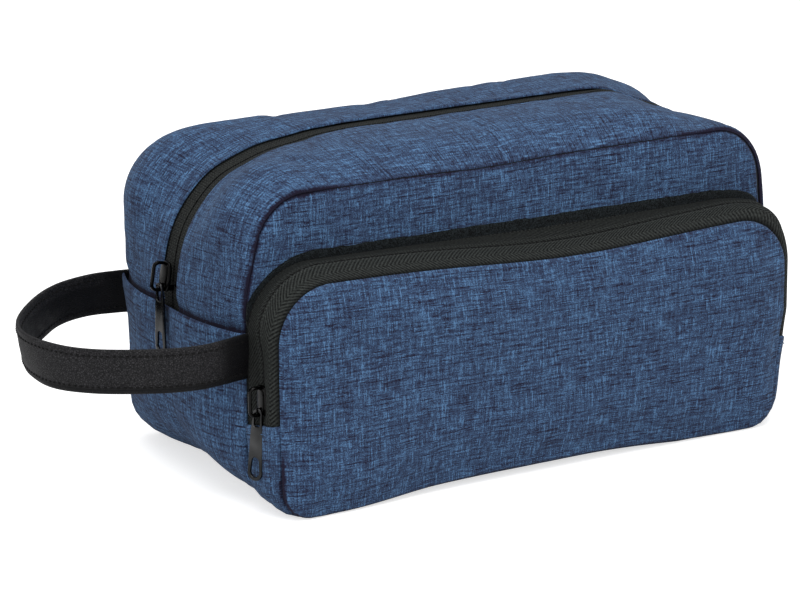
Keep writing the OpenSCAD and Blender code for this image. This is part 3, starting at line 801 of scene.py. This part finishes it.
def pocket_wall(share, y, lift=0.0):
    """The wall round the pocket as a grid: share is 0 at the middle of its top, 1 at the zip's
    lower ends and 2 at the middle of its foot, and y runs from the face to the front panel."""
    rings = []
    for run, end, dip, arch, corner in ((pocket_face_run, pocket_ends[0], *face_sag, 0.0),
                                        (pocket_chain_run, pocket_ends[1], 5.4, 2.6, 1.0),
                                        (pocket_back_run, pocket_ends[2], 0.4, 2.0, 0.9)):
        x, z = on_run(run, np.interp(np.abs(share), (0, 1, 2), (
            0, walked_to(run, end), run[2][-1])))
        rings.append(sagged(x * np.sign(share), z, dip, arch, corner))
    face, chain, back = rings
    front_share = np.clip((y - pocket_ys[0]) / (pocket_ys[1] - pocket_ys[0]), 0, 1)[..., None]
    back_share = np.clip((y - pocket_ys[1]) / (pocket_ys[2] - pocket_ys[1]), 0, 1)[..., None]
    flat = face + (chain - face) * front_share + (back - chain) * back_share
    place = np.stack([flat[..., 0], y + 0 * flat[..., 0], flat[..., 1]], -1)
    at_slider = (share < -0.5) * hump(place[..., 2], 54, 21, 4)
    place[..., 0] += at_slider * 2.9 * hump(y, pocket_ys[1], 5)
    right = eased((share - 0.5) / 0.2) * (1 - eased((share - 1.1) / 0.4))
    belly = ((1.2 + 2.4 * right) * np.sin(math.pi * front_share[..., 0])
             + (0.4 + 1.2 * right) * np.sin(math.pi * back_share[..., 0])
             - turned_in(y - pocket_ys[0], 1.6))
    return place + outward(place) * (belly + lift)[..., None]


def brushed(name, dark, light):
    """Brushed polyester with a short soft nap."""
    nap = Finish(name, Roughness=0.95, Specular_IOR_Level=0.08, Sheen_Weight=0.08,
                 Sheen_Roughness=0.5)
    across, along = nap.weave_mm()
    tufts = nap.blotches(nap.point(across * 1.4, along * 1.4, 0.3), 1, 4, 0.75)
    nap.feed(Base_Color=nap.shades(nap.spread(tufts, 0.42, 0.66), dark, light))
    return nap.relief(tufts, 0.0005, 0.9).material


black_nap = brushed("pocket_band", (0.0004, 0.0010, 0.0014), (0.022, 0.029, 0.033))
band_run = run_down(129.5, 103.3, 35.5, 0.8, 18.0)
share, t = grid(np.linspace(-1, 1, 170), np.linspace(-0.35, 1, 8))
inner_x, inner_z = on_run(pocket_back_run, np.abs(share) * walked_to(pocket_back_run, band_end))
outer_x, outer_z = on_run(band_run, np.abs(share) * walked_to(band_run, band_end))
ragged = 0.25 * np.sin(share * 190) * np.sin(share * 83 + 1) * (t > 0.99)
filled = (share > 0) * np.exp(-((outer_x - 115) / 12) ** 2 - ((outer_z - 93) / 12) ** 2)
band_x = np.sign(share) * (inner_x + (outer_x - inner_x) * (t + ragged * 0.2)) + 4.5 * filled
band_z = inner_z + (outer_z - inner_z) * (t + ragged * 0.2) - 0.010 * band_x + 3 * filled
edge_x = half_width(panel_run, band_z) - np.abs(drawn_in(band_x, band_z)) + 0.3
band_x = np.clip(band_x, -edge_x, edge_x)
band_y = front_face_y(band_x, band_z) - 0.75 + 0.5 * np.clip(t - 0.8, 0, 1) * 5
band = shell("pocket_band_cloth", np.stack([band_x, band_y, band_z], -1),
             np.stack([t * 4.5, share * pocket_walk], -1), black_nap, 0.0, 0.7)
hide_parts("pocket_band")
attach(band, "bag")


# ---------- pocket zip ----------
# Two tapes woven in herringbone, the front one sewn to the pocket's face. Their smooth side is
# out, and the coils lie behind them.

def herringbone(name, dark, light, flip, pitch=1.87):
    """Twill tape whose ribs turn back at the distance flip from its inner edge. Its colour is
    darkened from 9.9 to 11.6 mm out, as painted shade where the pocket face's edge overhangs it.
    """
    tape = Finish(name, Roughness=0.85, Specular_IOR_Level=0.15)
    across, along = tape.weave_mm()
    upper = tape.sum("MAXIMUM", flip - across, 0.0)
    lower = tape.sum("MAXIMUM", across - flip, 0.0)
    bent = along - upper * 1.4 - lower * 0.8
    rib = tape.sum("SINE", bent * (2 * math.pi / pitch)) * 0.5 + 0.5
    rib = tape.spread(rib, 0.25, 0.8)
    edge = 1 - tape.sum("MINIMUM", tape.sum("ABSOLUTE", across - 1.5) * 0.9, 1.0)
    beads = tape.sum("SINE", along * (2 * math.pi / 1.4)) * 0.5 + 0.5
    fluff = tape.blotches(tape.point(across * 1.1, along * 1.1, 3.0), 1, 3, 0.7)
    shade = rib * 0.42 + edge * beads * 0.45 + tape.spread(fluff, 0.34, 0.68, -0.12, 0.5)
    # Painted shade: darker from 9.9 to 11.6 mm from the chain, where the pocket face's edge shades
    # the tape.
    shade = shade * tape.spread(across, 9.9, 11.6, 1.0, 0.1)
    tape.feed(Base_Color=tape.shades(shade, dark, light))
    return tape.relief(rib * 0.8 + edge * beads, 0.00035, 0.9).material


black_herringbone = herringbone("zip_tape_wide", (0.0010, 0.0014, 0.0015),
                                (0.052, 0.058, 0.055), 7.4)
# The rear tape is a darker copy of the same tape, as painted shade from the band beside it.
shaded_rear_tape = herringbone("zip_tape_rear_shaded", (0.0006, 0.0009, 0.0010),
                              (0.036, 0.040, 0.038), 7.4)
wall_share = np.linspace(-1.03, 1.03, 190)
tape_thick = 0.6


def tape_wall(ys):
    """A tape's grid on the pocket's wall, dipping where the two tapes meet."""
    share, y = grid(wall_share, np.array(ys))
    return share, y, pocket_wall(share, y, -0.5 * hump(y, pocket_ys[1], 0.5))


def beside(at):
    return np.array([at - 0.2, at, at + 0.2])


share, y, place = tape_wall([-62.9, -62.6, -62.0, -60.5, -58.5, -56.5, -54.9, -53.9])
rear_tape = shell("pocket_tape_rear", place, np.stack([y - pocket_ys[1], share * pocket_walk], -1),
                  shaded_rear_tape, 0.0, tape_thick)
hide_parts("pocket_rear_tape")
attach(rear_tape, "bag")

share, y, place = tape_wall([-74.95, -74.8, -74.5, -74.1, -73.5, -72, -70, -68, -66, -64.5,
                             -63.8, -63.4, -63.1])
front_tape = shell("pocket_tape_front", place,
                   np.stack([pocket_ys[1] - y, share * pocket_walk], -1),
                   black_herringbone, 0.0, tape_thick)
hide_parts("pocket_front_tape_sides", "pocket_flap_tape")
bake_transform(front_tape)

black_thread = thread("black_thread", (0.0006, 0.0006, 0.0008), (0.0040, 0.0040, 0.0045))
zip_rows = {}
for row, at in (("chain", -63.5), ("band", -54.4)):
    zip_rows[row] = pocket_wall(*grid(wall_share, beside(at)), 0.05)[:, 1]
rear_stitches = stitches.along("pocket_stitches_rear", [zip_rows["band"]], black_thread,
                               Pitch=3.4 * MM, Length=2.8 * MM, Thread=0.36 * MM)
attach(rear_stitches, "bag")
front_stitches = stitches.along("pocket_stitches_front", [zip_rows["chain"]], black_thread,
                                Pitch=2.8 * MM, Length=1.9 * MM, Thread=0.32 * MM)
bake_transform(front_stitches)

for at, label, node_names in ((-60.95, "rear", ("pocket_rear_coil",)),
                              (-65.05, "front", ("pocket_front_coil_sides",
                                                 "pocket_flap_coil"))):
    row = pocket_wall(*grid(wall_share, beside(at)), -1.85)[:, 1]
    teeth = coil.along(f"pocket_coil_{label}", [row], nylon_black, **coil_size)
    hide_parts(*node_names)
    if label == "rear":
        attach(teeth, "bag")
    else:
        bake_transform(teeth)


# ---------- pocket's lower gusset ----------
# A strip of the melange cloth below the zip, down one side, under the pocket and up the other.
# Its two ends are folded over the zip's ends and topstitched with pale thread.

foot_run = 150
foot_down = 1 + np.concatenate([[-0.004, -0.0025, 0, 0.005, 0.012, 0.022],
                                np.linspace(0.035, 1, 42)])
share, y = grid(there_and_back(foot_down),
                pocket_ys[2] - steps(21.4, 2.4, (0.6, 1.4, 2.6, 4.0)))
from_end = (np.abs(share) - 0.996) * foot_run
lift = (np.where(share < 0, 1.0, 0.5) * hump(from_end, 0, 7)
        - turned_in(from_end, 0.6) - turned_in(y - pocket_ys[0], 1.0) + 0.3
        + 0.5 * drift(share * foot_run, y, 33) * np.clip((y + 75.5) / 6, 0, 1))
lower_place = pocket_wall(share, y, lift)
lower_place[..., 2] = np.maximum(lower_place[..., 2], 0.05)
# Painted shade in the crease where the lower gusset meets the face, below z = 30.
face_seam_shade = np.clip((-74.2 - y) / 0.6, 0, 1) * np.clip((30 - lower_place[..., 2]) / 10, 0, 1)
lower_gusset = shell("pocket_gusset_cloth", lower_place, under_weave(share, y, foot_run, 77),
                     blue_lengthwise, seam=face_seam_shade)
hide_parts("pocket_gusset")
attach(lower_gusset, "bag")

pale_thread = thread("pale_thread", (0.05, 0.11, 0.22), (0.10, 0.20, 0.36))
row_paths = []
for end in (-1, 1):
    share, y = grid(np.sort(end * np.array([1.016, 1.018, 1.020]))[::-1],
                    np.linspace(-55, -73.8, 30))
    row_paths.append(pocket_wall(share, y, 1.2)[1])
end_stitches = stitches.along("pocket_end_stitches", row_paths, pale_thread,
                              Pitch=2.6 * MM, Length=1.7 * MM, Thread=0.22 * MM)
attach(end_stitches, "bag")


# ---------- pocket face ----------
# One piece of melange cloth, softly filled and seamed to the front tape and the lower gusset.

x, z = panel_grid(pocket_face_run)
inset = inset_from(pocket_face_run, x, z)
belly = 3.2 * (1 - np.exp(-inset / 10)) + 0.9 * drift(x, z, 12) * np.clip(inset / 16, 0, 1)
belly = belly + 2.6 * np.exp(-((x + 98) / 34) ** 2 - (z / 24) ** 2)
face_y = face_front_y - belly + turned_in(inset, 1.7)
hung = sagged(x, z, *face_sag)
face_place = pressed_out(np.stack([hung[..., 0], face_y, hung[..., 1]], -1), 1.4)
# Its seam values paint shade along the face's edge below z = 30, in the crease beside the lower
# gusset.
pocket_face = shell("pocket_face_cloth", face_place,
                    np.stack([x + 190, z + 333], -1), blue_melange,
                    seam=np.clip((0.7 - inset) / 0.5, 0, 1) * np.clip((30 - z) / 10, 0, 1))
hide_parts("pocket_face_lower", "pocket_flap_face")
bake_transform(pocket_face)


# ---------- sliders and pull tabs ----------
# Cast zinc with a gloss black finish. Each slider has a tall bail, and its pull tab is forked
# round the bail's bar, flat below, with a long oval hole near its rounded tip.

def gloss_black(name, dark, light):
    """Gloss black zinc, its colour mottled at random between the two shades given."""
    metal = Finish(name, Metallic=1.0, Specular_IOR_Level=0.5)
    place = metal.node("ShaderNodeTexCoord", {}, {}, 3)
    cast = metal.blotches(place, 260, 3, 0.6)
    mottle = metal.blotches(place, 90, 2)
    metal.feed(Base_Color=metal.colours(mottle, [(0.3, dark), (0.7, light)]),
               Roughness=metal.spread(cast, 0.3, 0.7, 0.14, 0.30))
    return metal.relief(cast, 0.00012, 0.25).material


black_zinc = gloss_black("black_metal", (0.005, 0.005, 0.005), (0.020, 0.020, 0.020))
# The pull tab is a lighter copy of the same zinc: painted reflection, where its face takes the
# light.
lit_pull_zinc = gloss_black("black_metal_pull", (0.030, 0.031, 0.032), (0.085, 0.086, 0.088))


def flat_part(rings, thick, round_by):
    """A flat part from closed rings of points in millimetres, the first its outside and the
    rest its holes, with rounded edges."""
    curve = bpy.data.curves.new("flat_part", "CURVE")
    curve.dimensions, curve.fill_mode = "2D", "BOTH"
    curve.extrude = (thick / 2 - round_by) * MM
    curve.bevel_depth, curve.bevel_resolution, curve.offset = round_by * MM, 2, -round_by * MM
    for ring in rings:
        line = curve.splines.new("POLY")
        line.points.add(len(ring) - 1)
        line.points.foreach_set("co", [v for x, y in ring for v in (x * MM, y * MM, 0, 1)])
        line.use_cyclic_u = True
    return made_real(bpy.data.objects.new("flat_part", curve))


def arc(x, y, radius, start, end, count=10):
    turn = np.radians(np.linspace(start, end, count))
    return [(x + radius * math.cos(a), y + radius * math.sin(a)) for a in turn]


def rounded(left, low, right, high, radius):
    return (arc(right - radius, low + radius, radius, -90, 0, 6)
            + arc(right - radius, high - radius, radius, 0, 90, 6)
            + arc(left + radius, high - radius, radius, 90, 180, 6)
            + arc(left + radius, low + radius, radius, 180, 270, 6))


def joined(name, parts, material, place):
    """Meshes set by their own matrices, as one piece set by place."""
    whole = bmesh.new()
    for mesh, matrix in parts:
        mesh.transform(place @ matrix)
        whole.from_mesh(mesh)
        bpy.data.meshes.remove(mesh)
    bmesh.ops.remove_doubles(whole, verts=whole.verts, dist=1e-6)
    bmesh.ops.recalc_face_normals(whole, faces=whole.faces)
    mesh = bpy.data.meshes.new(name)
    whole.to_mesh(mesh)
    whole.free()
    return finished(name, mesh, material, 35)


def slider_frame(x, y, z, lean):
    """Turns a slider drawn with X across the zip, Y up it and Z out of the tape."""
    a = math.radians(lean)
    turn = Matrix(((0, math.sin(a), -math.cos(a)), (-1, 0, 0), (0, math.cos(a), math.sin(a))))
    return Matrix.Translation(Vector((x, y, z)) * MM) @ turn.to_4x4()


def slider_parts():
    """Top and lower plates, the post between them, side rails and the bail."""
    oval = [(4.2 * math.copysign(abs(math.cos(t)) ** 0.62, math.cos(t)),
             6.4 * math.copysign(abs(math.sin(t)) ** 0.72, math.sin(t)))
            for t in np.linspace(0, 2 * math.pi, 44, endpoint=False)]
    top = flat_part([oval], 1.5, 0.55)
    ridge = flat_part([[(x * 0.62, y * 0.78) for x, y in oval]], 0.9, 0.35)
    lower = flat_part([[(x * 1.05, y) for x, y in oval]], 1.3, 0.4)
    post = flat_part([rounded(-0.45, -6.0, 0.45, -3.6, 0.4)], 4.4, 0.1)
    bail = flat_part([rounded(-6.4, 0.6, 6.4, 7.5, 2.7), rounded(-5.05, 1.9, 5.05, 6.2, 1.5)],
                     1.6, 0.5)
    stand = Matrix(((0, 0, 1), (1, 0, 0), (0, 1, 0))).to_4x4()
    rails = [(flat_part([rounded(-0.35, -3.6, 0.35, 2.6, 0.3)], 2.2, 0.1),
              Matrix.Translation(Vector((side * 4.25, 0, -2.9)) * MM)) for side in (-1, 1)]
    return [(top, Matrix.Translation((0, 0, 1.05 * MM))),
            (ridge, Matrix.Translation((0, 0, 1.95 * MM))),
            (lower, Matrix.Translation((0, 0, -4.55 * MM))),
            (post, Matrix.Translation((0, 0, -1.9 * MM))), (bail, stand), *rails]


def pull_parts():
    """A tab about 30 mm long, with a window at its head that hangs on the bail, and a long
    oval hole near its tip. The origin is on the swing's axis."""
    outside = (arc(0, -0.8, 2.25, 0, 180, 12)
               + [(-2.25, -2.5), (-2.6, -5.5), (-3.0, -8.5), (-3.55, -24.4)]
               + arc(0, -25.3, 3.6, 188, 352, 16) + [(3.55, -24.4), (3.0, -8.5), (2.6, -5.5),
                                                     (2.25, -2.5)])
    window = rounded(-1.5, -6.3, 1.5, -0.55, 0.9)
    hole = arc(0, -21.0, 1.8, 0, 180, 12) + arc(0, -25.1, 2.25, 180, 360, 14)
    return [(flat_part([outside, window, hole], 1.35, 0.42), Matrix.Identity(4))]


for zip_name, seat, lean, hang, twist in (("main", (-134.9, -2.3, 86.49), 9, 9, 6),
                                          ("pocket", (-123.05, -63, 48), 0, -4, 24)):
    seat_frame = slider_frame(*seat, lean)
    slider = joined(f"{zip_name}_zip_slider", slider_parts(), black_zinc, seat_frame)
    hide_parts(f"{zip_name}_slider", f"{zip_name}_slider_bail")
    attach(slider, f"{zip_name}_slider")
    pin = (Matrix.Translation(Vector((0, -4.2, 3.2)) * MM)
           @ Matrix.Rotation(math.radians(hang), 4, "X")
           @ Matrix.Rotation(math.radians(twist), 4, "Y"))
    pull = joined(f"{zip_name}_zip_pull", pull_parts(), lit_pull_zinc, seat_frame @ pin)
    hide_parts(f"{zip_name}_pull")
    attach(pull, f"{zip_name}_pull")


# ---------- carry strap ----------
# A loop of charcoal coated cloth, folded to two layers and stitched along both edges, with its
# ends sewn into the front and back seams of the left end.

def coated(name, dark, light):
    """Polyurethane coating with a fine leather grain, with painted shade on the loop's inner face
    and towards its sewn ends.
    """
    skin = Finish(name, Roughness=0.62, Specular_IOR_Level=0.2)
    across, along = skin.weave_mm()
    place = skin.point(across, along, 0.0)
    cells = skin.node("ShaderNodeTexVoronoi", {"feature": "DISTANCE_TO_EDGE"},
                      {"Vector": place, "Scale": 1.1})
    grain = skin.spread(cells, 0.0, 0.35)
    cloud = skin.blotches(skin.point(across * 0.35, along * 0.18, 1.0), 1, 4, 0.6)
    speck = skin.blotches(skin.point(across * 1.5, along * 1.5, 5.0), 1, 2)
    shade = skin.spread(cloud * 0.2 + speck * 0.6 + grain * 0.3, 0.40, 0.80)
    place = skin.node("ShaderNodeTexCoord", {}, {}, 3)
    split = skin.node("ShaderNodeSeparateXYZ", {}, {0: place})
    # Painted shade: the coat darkens to black from x = -142 to -135 mm, towards both sewn ends,
    # where the front end lies in the pocket's shade.
    strap_end_shade = skin.spread(split, -0.142, -0.135, 1.0, 0.0)
    # Painted shade: past 22 mm round the section, on the loop's inner face, the coat is darkened
    # to 0.14 of its shade.
    shade = shade * skin.spread(across, 22.0, 24.0, 1.0, 0.14) * strap_end_shade
    skin.feed(Base_Color=skin.shades(shade, dark, light),
              Roughness=skin.spread(cloud, 0.3, 0.7, 0.52, 0.68))
    return skin.relief(grain + speck * 0.9, 0.00020, 0.7).material


charcoal_coat = coated("strap_leather", (0.0012, 0.0012, 0.0022), (0.046, 0.045, 0.049))
strap_width, strap_thick, strap_z = 19.6, 2.4, 64.2
strap_bends = [(-124.8, -53.5), (-131.2, -54.6), (-140.0, -56.2), (-150.0, -56.5),
               (-162.0, -53.3), (-175.0, -46.6), (-186.4, -37.3), (-194.5, -24.8),
               (-197.8, -9.1), (-195.8, 8.1), (-187.7, 24.5), (-174.7, 38.9), (-160.0, 50.4),
               (-144.2, 55.2), (-131.9, 54.6), (-124.8, 53.2)]
strap_hang = [(0, -0.08, -0.4), (12, -0.17, 0.1), (24, -0.18, 0.2), (34, -0.15, 0.65),
              (42, -0.08, 1.1), (50, -0.18, 1.4), (58, -0.15, 1.3), (66, -0.05, 0.7),
              (76, -0.02, -0.3), (88, 0.20, -1.2), (100, 0.13, -1.0)]


def smooth_line(bends, count):
    """A smooth line through points, evenly spaced, and how far along it each place is."""
    bends = np.array(bends, float)
    padded_ends = np.concatenate([[2 * bends[0] - bends[1]], bends, [2 * bends[-1] - bends[-2]]])
    line = []
    for a, b, c, d in zip(padded_ends, padded_ends[1:], padded_ends[2:], padded_ends[3:]):
        for t in np.linspace(0, 1, 20, endpoint=False):
            line.append(0.5 * (2 * b + (c - a) * t + (2 * a - 5 * b + 4 * c - d) * t ** 2
                               + (3 * b - a - 3 * c + d) * t ** 3))
    line = np.array(line + [bends[-1]])
    walked = walk_along(line)
    even = np.linspace(0, walked[-1], count)
    return np.stack([np.interp(even, walked, line[:, k]) for k in range(line.shape[1])], -1), even


def strap_at(across, out):
    """Points on the strap: across is up from its middle, out is away from the loop's inside."""
    line, walked = smooth_line(strap_bends, 190)
    heading = np.gradient(line, axis=0)
    heading /= np.linalg.norm(heading, axis=1, keepdims=True)
    away = np.stack([heading[:, 1], -heading[:, 0]], -1)
    share = walked / walked[-1]
    hang = smooth_line(strap_hang, 100)[0]
    tilt, sag = (np.interp(share * 100, hang[:, 0], hang[:, k]) for k in (1, 2))
    x = line[:, 0] + away[:, 0] * (out + tilt * across)
    y = line[:, 1] + away[:, 1] * (out + tilt * across)
    return np.stack([x, y, strap_z - sag + across + 0 * x], -1), walked


half, edge = strap_width / 2, strap_thick / 2
groove = 0.22
half_turn = np.radians(np.linspace(0, 180, 7))
section = ([(-half + 3.0, edge - groove), (-half + 4.2, edge), (0, edge + 0.15),
            (half - 4.2, edge), (half - 3.0, edge - groove), (half - 1.8, edge - 0.05)]
           + [(half - 0.9 + 0.9 * math.sin(t), (edge - 0.25) * math.cos(t))
              for t in half_turn]
           + [(half - 1.8, -edge + 0.05), (half - 3.0, -edge + groove), (half - 4.2, -edge),
              (0, -edge - 0.1), (-half + 4.2, -edge), (-half + 3.0, -edge + groove),
              (-half + 1.8, -edge + 0.05)]
           + [(-half + 0.9 - 0.9 * math.sin(t), -(edge - 0.25) * math.cos(t))
              for t in half_turn]
           + [(-half + 1.8, edge - 0.05)])
rings = [strap_at(across, -out) for across, out in section]
points = np.stack([ring[0] for ring in rings], 1)
count, round_count = points.shape[:2]
index = np.arange(count * round_count).reshape(count, round_count)
after = np.roll(index, -1, axis=1)
sides = np.stack([index[:-1], after[:-1], after[1:], index[1:]], -1).reshape(-1, 4).tolist()
mesh = bpy.data.meshes.new("carry_strap_loop")
mesh.from_pydata((points.reshape(-1, 3) * MM).tolist(), [],
                 sides + [index[0, ::-1].tolist(), index[-1].tolist()])
lengths = np.concatenate([[0], np.cumsum(np.hypot(*np.diff(np.array(section), axis=0).T))])
weave = np.stack(np.meshgrid(rings[0][1], lengths, indexing="ij"), -1).reshape(-1, 2) * MM
lay_weave(mesh, weave[:, ::-1])
whole = bmesh.new()
whole.from_mesh(mesh)
bmesh.ops.recalc_face_normals(whole, faces=whole.faces)
whole.to_mesh(mesh)
whole.free()
strap = finished("carry_strap_loop", mesh, charcoal_coat, 60)
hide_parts("strap_outer", "strap_inner", "strap_ends")
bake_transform(strap)

strap_rows = [strap_at(across, out)[0][4:-4] for across in (-half + 3.0, half - 3.0)
              for out in (edge - groove + 0.06, -edge + groove - 0.06)]
strap_stitches = stitches.along("strap_stitches", strap_rows, black_thread,
                                Pitch=2.6 * MM, Length=1.6 * MM, Thread=0.5 * MM)
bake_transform(strap_stitches)


# ---------- linings and inside seams ----------
# Grey nylon taffeta behind the foam of the walls and the gusset, turned in at the seams. The two
# seams round the panels are bound inside with ribbed black tape.

def taffeta(name, dark, light):
    """Thin plain-woven nylon, a little creased."""
    cloth = Finish(name, Roughness=0.55, Specular_IOR_Level=0.4)
    across, along = cloth.weave_mm()
    grid = (cloth.sum("SINE", across * (2 * math.pi / 0.5))
            + cloth.sum("SINE", along * (2 * math.pi / 0.5))) * 0.25 + 0.5
    crease = cloth.blotches(cloth.point(across * 0.05, along * 0.08, 7.0), 1, 4, 0.55)
    cloth.feed(Base_Color=cloth.colours(grid * 0.3 + crease * 0.7, [(0.25, dark), (0.75, light)]))
    return cloth.relief(crease + grid * 0.05, 0.0016, 0.5).material


grey_taffeta = taffeta("lining", (0.045, 0.047, 0.052), (0.085, 0.088, 0.096))
lining_run = run_down(122.4, 124.4, 24.6, 3.6, 13.0)
lining_thick, lining_y = 0.6, 49.0
x, z = panel_grid(lining_run, 5.0)
for side, panel in ((-1, "front"), (1, "back")):
    sheet = shell(f"{panel}_lining_cloth", np.stack([-side * x, side * lining_y + 0 * x, z], -1),
                  np.stack([-side * x, z], -1), grey_taffeta, 0.0, lining_thick)
    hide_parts(f"{panel}_lining")
    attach(sheet, "bag")

share, y = grid(lap, np.linspace(48.6, -48.6, 20))
base_lining = shell("base_lining_cloth", gusset(share, y), under_weave(share, y, lap_scale),
                    grey_taffeta, 4.2, lining_thick)
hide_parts("base_lining")
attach(base_lining, "bag")

seam_allowance = (3.6, 1.8)
for (side_name, end_name), (place, weave, side) in strips.items():
    order = 1 if side_name == "front" else -1
    wide = np.abs(side[::order]) > 0.2
    place, weave = place[:, ::order], weave[:, ::order]
    run = np.gradient(place[:, 0], axis=0)
    inward = np.stack([run[:, 2], 0 * run[:, 1], -run[:, 0]], -1)
    inward /= np.hypot(run[:, 0], run[:, 2])[:, None]
    turned = [place[:, :1] + inward[:, None] * deep for deep in seam_allowance]
    beyond = [weave[:, :1] - [order * deep, 0] for deep in seam_allowance]
    sheet = shell(f"zip_lining_cloth_{side_name}_{end_name}",
                  np.concatenate([*turned, place[:, wide]], 1)[:, ::order],
                  np.concatenate([*beyond, weave[:, wide]], 1)[:, ::order],
                  grey_taffeta, 1.4, lining_thick)
    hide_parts(f"zip_lining_{side_name}_ends", f"{side_name}_flap_lining")
    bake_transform(sheet)

bound = Finish("seam_binding", Roughness=0.8, Specular_IOR_Level=0.25)
place = bound.node("ShaderNodeTexCoord", {}, {}, 3)
ribs = bound.node("ShaderNodeTexWave", {"wave_type": "BANDS", "bands_direction": "Y"},
                  {"Vector": place, "Scale": 300.0, "Distortion": 0.5}, 1)
bound.feed(Base_Color=bound.shades(ribs, (0.006, 0.006, 0.006), (0.022, 0.022, 0.021)))
bound.relief(ribs, 0.0002, 0.6)
x, z = on_run(panel_run, np.linspace(0, panel_run[2][-1], 100))
x, z = np.concatenate([x, -x[-2:0:-1]]), np.concatenate([z, z[-2:0:-1]])
along_x, along_z = np.roll(x, -1) - np.roll(x, 1), np.roll(z, -1) - np.roll(z, 1)
length = np.hypot(along_x, along_z)
turn = np.linspace(0, 2 * math.pi, 16, endpoint=False)
high = eased((z - 100) / 15)[:, None]
inset = 2.9 - 1.1 * high + (2.4 + 0.7 * high) * np.cos(turn)
x = x[:, None] + (along_z / length)[:, None] * inset
z = z[:, None] - (along_x / length)[:, None] * inset
y = 51.1 - 1.2 * tightened(x, z) + 1.15 * np.sin(turn)
index = np.arange(x.size).reshape(x.shape)
faces = np.stack([index, np.roll(index, -1, 1), np.roll(np.roll(index, -1, 0), -1, 1),
                  np.roll(index, -1, 0)], -1).reshape(-1, 4)
for panel, place, outward_faces in (
        ("front", (x + drawn_in(x, z), -y, z - seam_dip(x, z)), faces),
        ("back", (x, y, z), faces[:, ::-1])):
    mesh = bpy.data.meshes.new(f"{panel}_binding_tape")
    mesh.from_pydata((np.stack(place, -1).reshape(-1, 3) * MM).tolist(), [],
                     outward_faces.tolist())
    tape = finished(f"{panel}_binding_tape", mesh, bound.material)
    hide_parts(f"{panel}_seam_binding")
    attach(tape, "bag")


# ---------- floor, lights and the white surroundings ----------
# A pale matt floor that shows only the bag's shadow, three soft lamps and a white backdrop.

floor_look = Finish("floor", Roughness=1.0, Specular_IOR_Level=0.0, Base_Color=(0.8, 0.8, 0.8, 1))
path = floor_look.tree.nodes.new("ShaderNodeLightPath")
lit, from_camera = (Wire(floor_look, socket) for socket in (
    floor_look.surface.outputs[0], path.outputs["Is Camera Ray"]))
glow = floor_look.node("ShaderNodeEmission", {}, {"Color": (1, 1, 1, 1), "Strength": 0.62})
shaded = floor_look.node("ShaderNodeAddShader", {}, {0: lit, 1: glow})
seen = floor_look.node("ShaderNodeMixShader", {}, {0: from_camera, 1: lit, 2: shaded})
floor_look.tree.links.new(seen.socket,
                          floor_look.tree.nodes["Material Output"].inputs["Surface"])
bpy.ops.mesh.primitive_plane_add(size=8)
floor = bpy.context.object
floor.name = "floor"
floor.data.materials.append(floor_look.material)

world = bpy.data.worlds.new("surroundings")
world.use_nodes = True
bpy.context.scene.world = world
sky = world.node_tree
backdrop = sky.nodes["Background"]
backdrop.inputs["Color"].default_value = (1, 1, 1, 1)
rays = sky.nodes.new("ShaderNodeLightPath")
shown = sky.nodes.new("ShaderNodeMath")
shown.operation = "MAXIMUM"
sky.links.new(rays.outputs["Is Camera Ray"], shown.inputs[0])
sky.links.new(rays.outputs["Is Transmission Ray"], shown.inputs[1])
strength = sky.nodes.new("ShaderNodeMapRange")
strength.inputs[3].default_value, strength.inputs[4].default_value = 0.55, 1.0
sky.links.new(shown.outputs[0], strength.inputs[0])
sky.links.new(strength.outputs[0], backdrop.inputs["Strength"])

for label, at, aim, size, power in (("overhead", (-0.15, -0.25, 1.3), (0, 0, 0.05), 1.1, 9.7),
                                    ("front_fill", (0.5, -1.6, 0.7), (0, 0, 0.06), 1.2, 7.0),
                                    ("side_fill", (-1.6, -0.4, 0.6), (0, 0, 0.06), 1.0, 5.0)):
    lamp = bpy.data.objects.new(label, bpy.data.lights.new(label, "AREA"))
    lamp.data.size, lamp.data.energy = size, power
    lamp.location = at
    lamp.rotation_euler = (Vector(at) - Vector(aim)).to_track_quat("Z", "Y").to_euler()
    bpy.context.scene.collection.objects.link(lamp)

bpy.context.scene.view_settings.view_transform = "Standard"
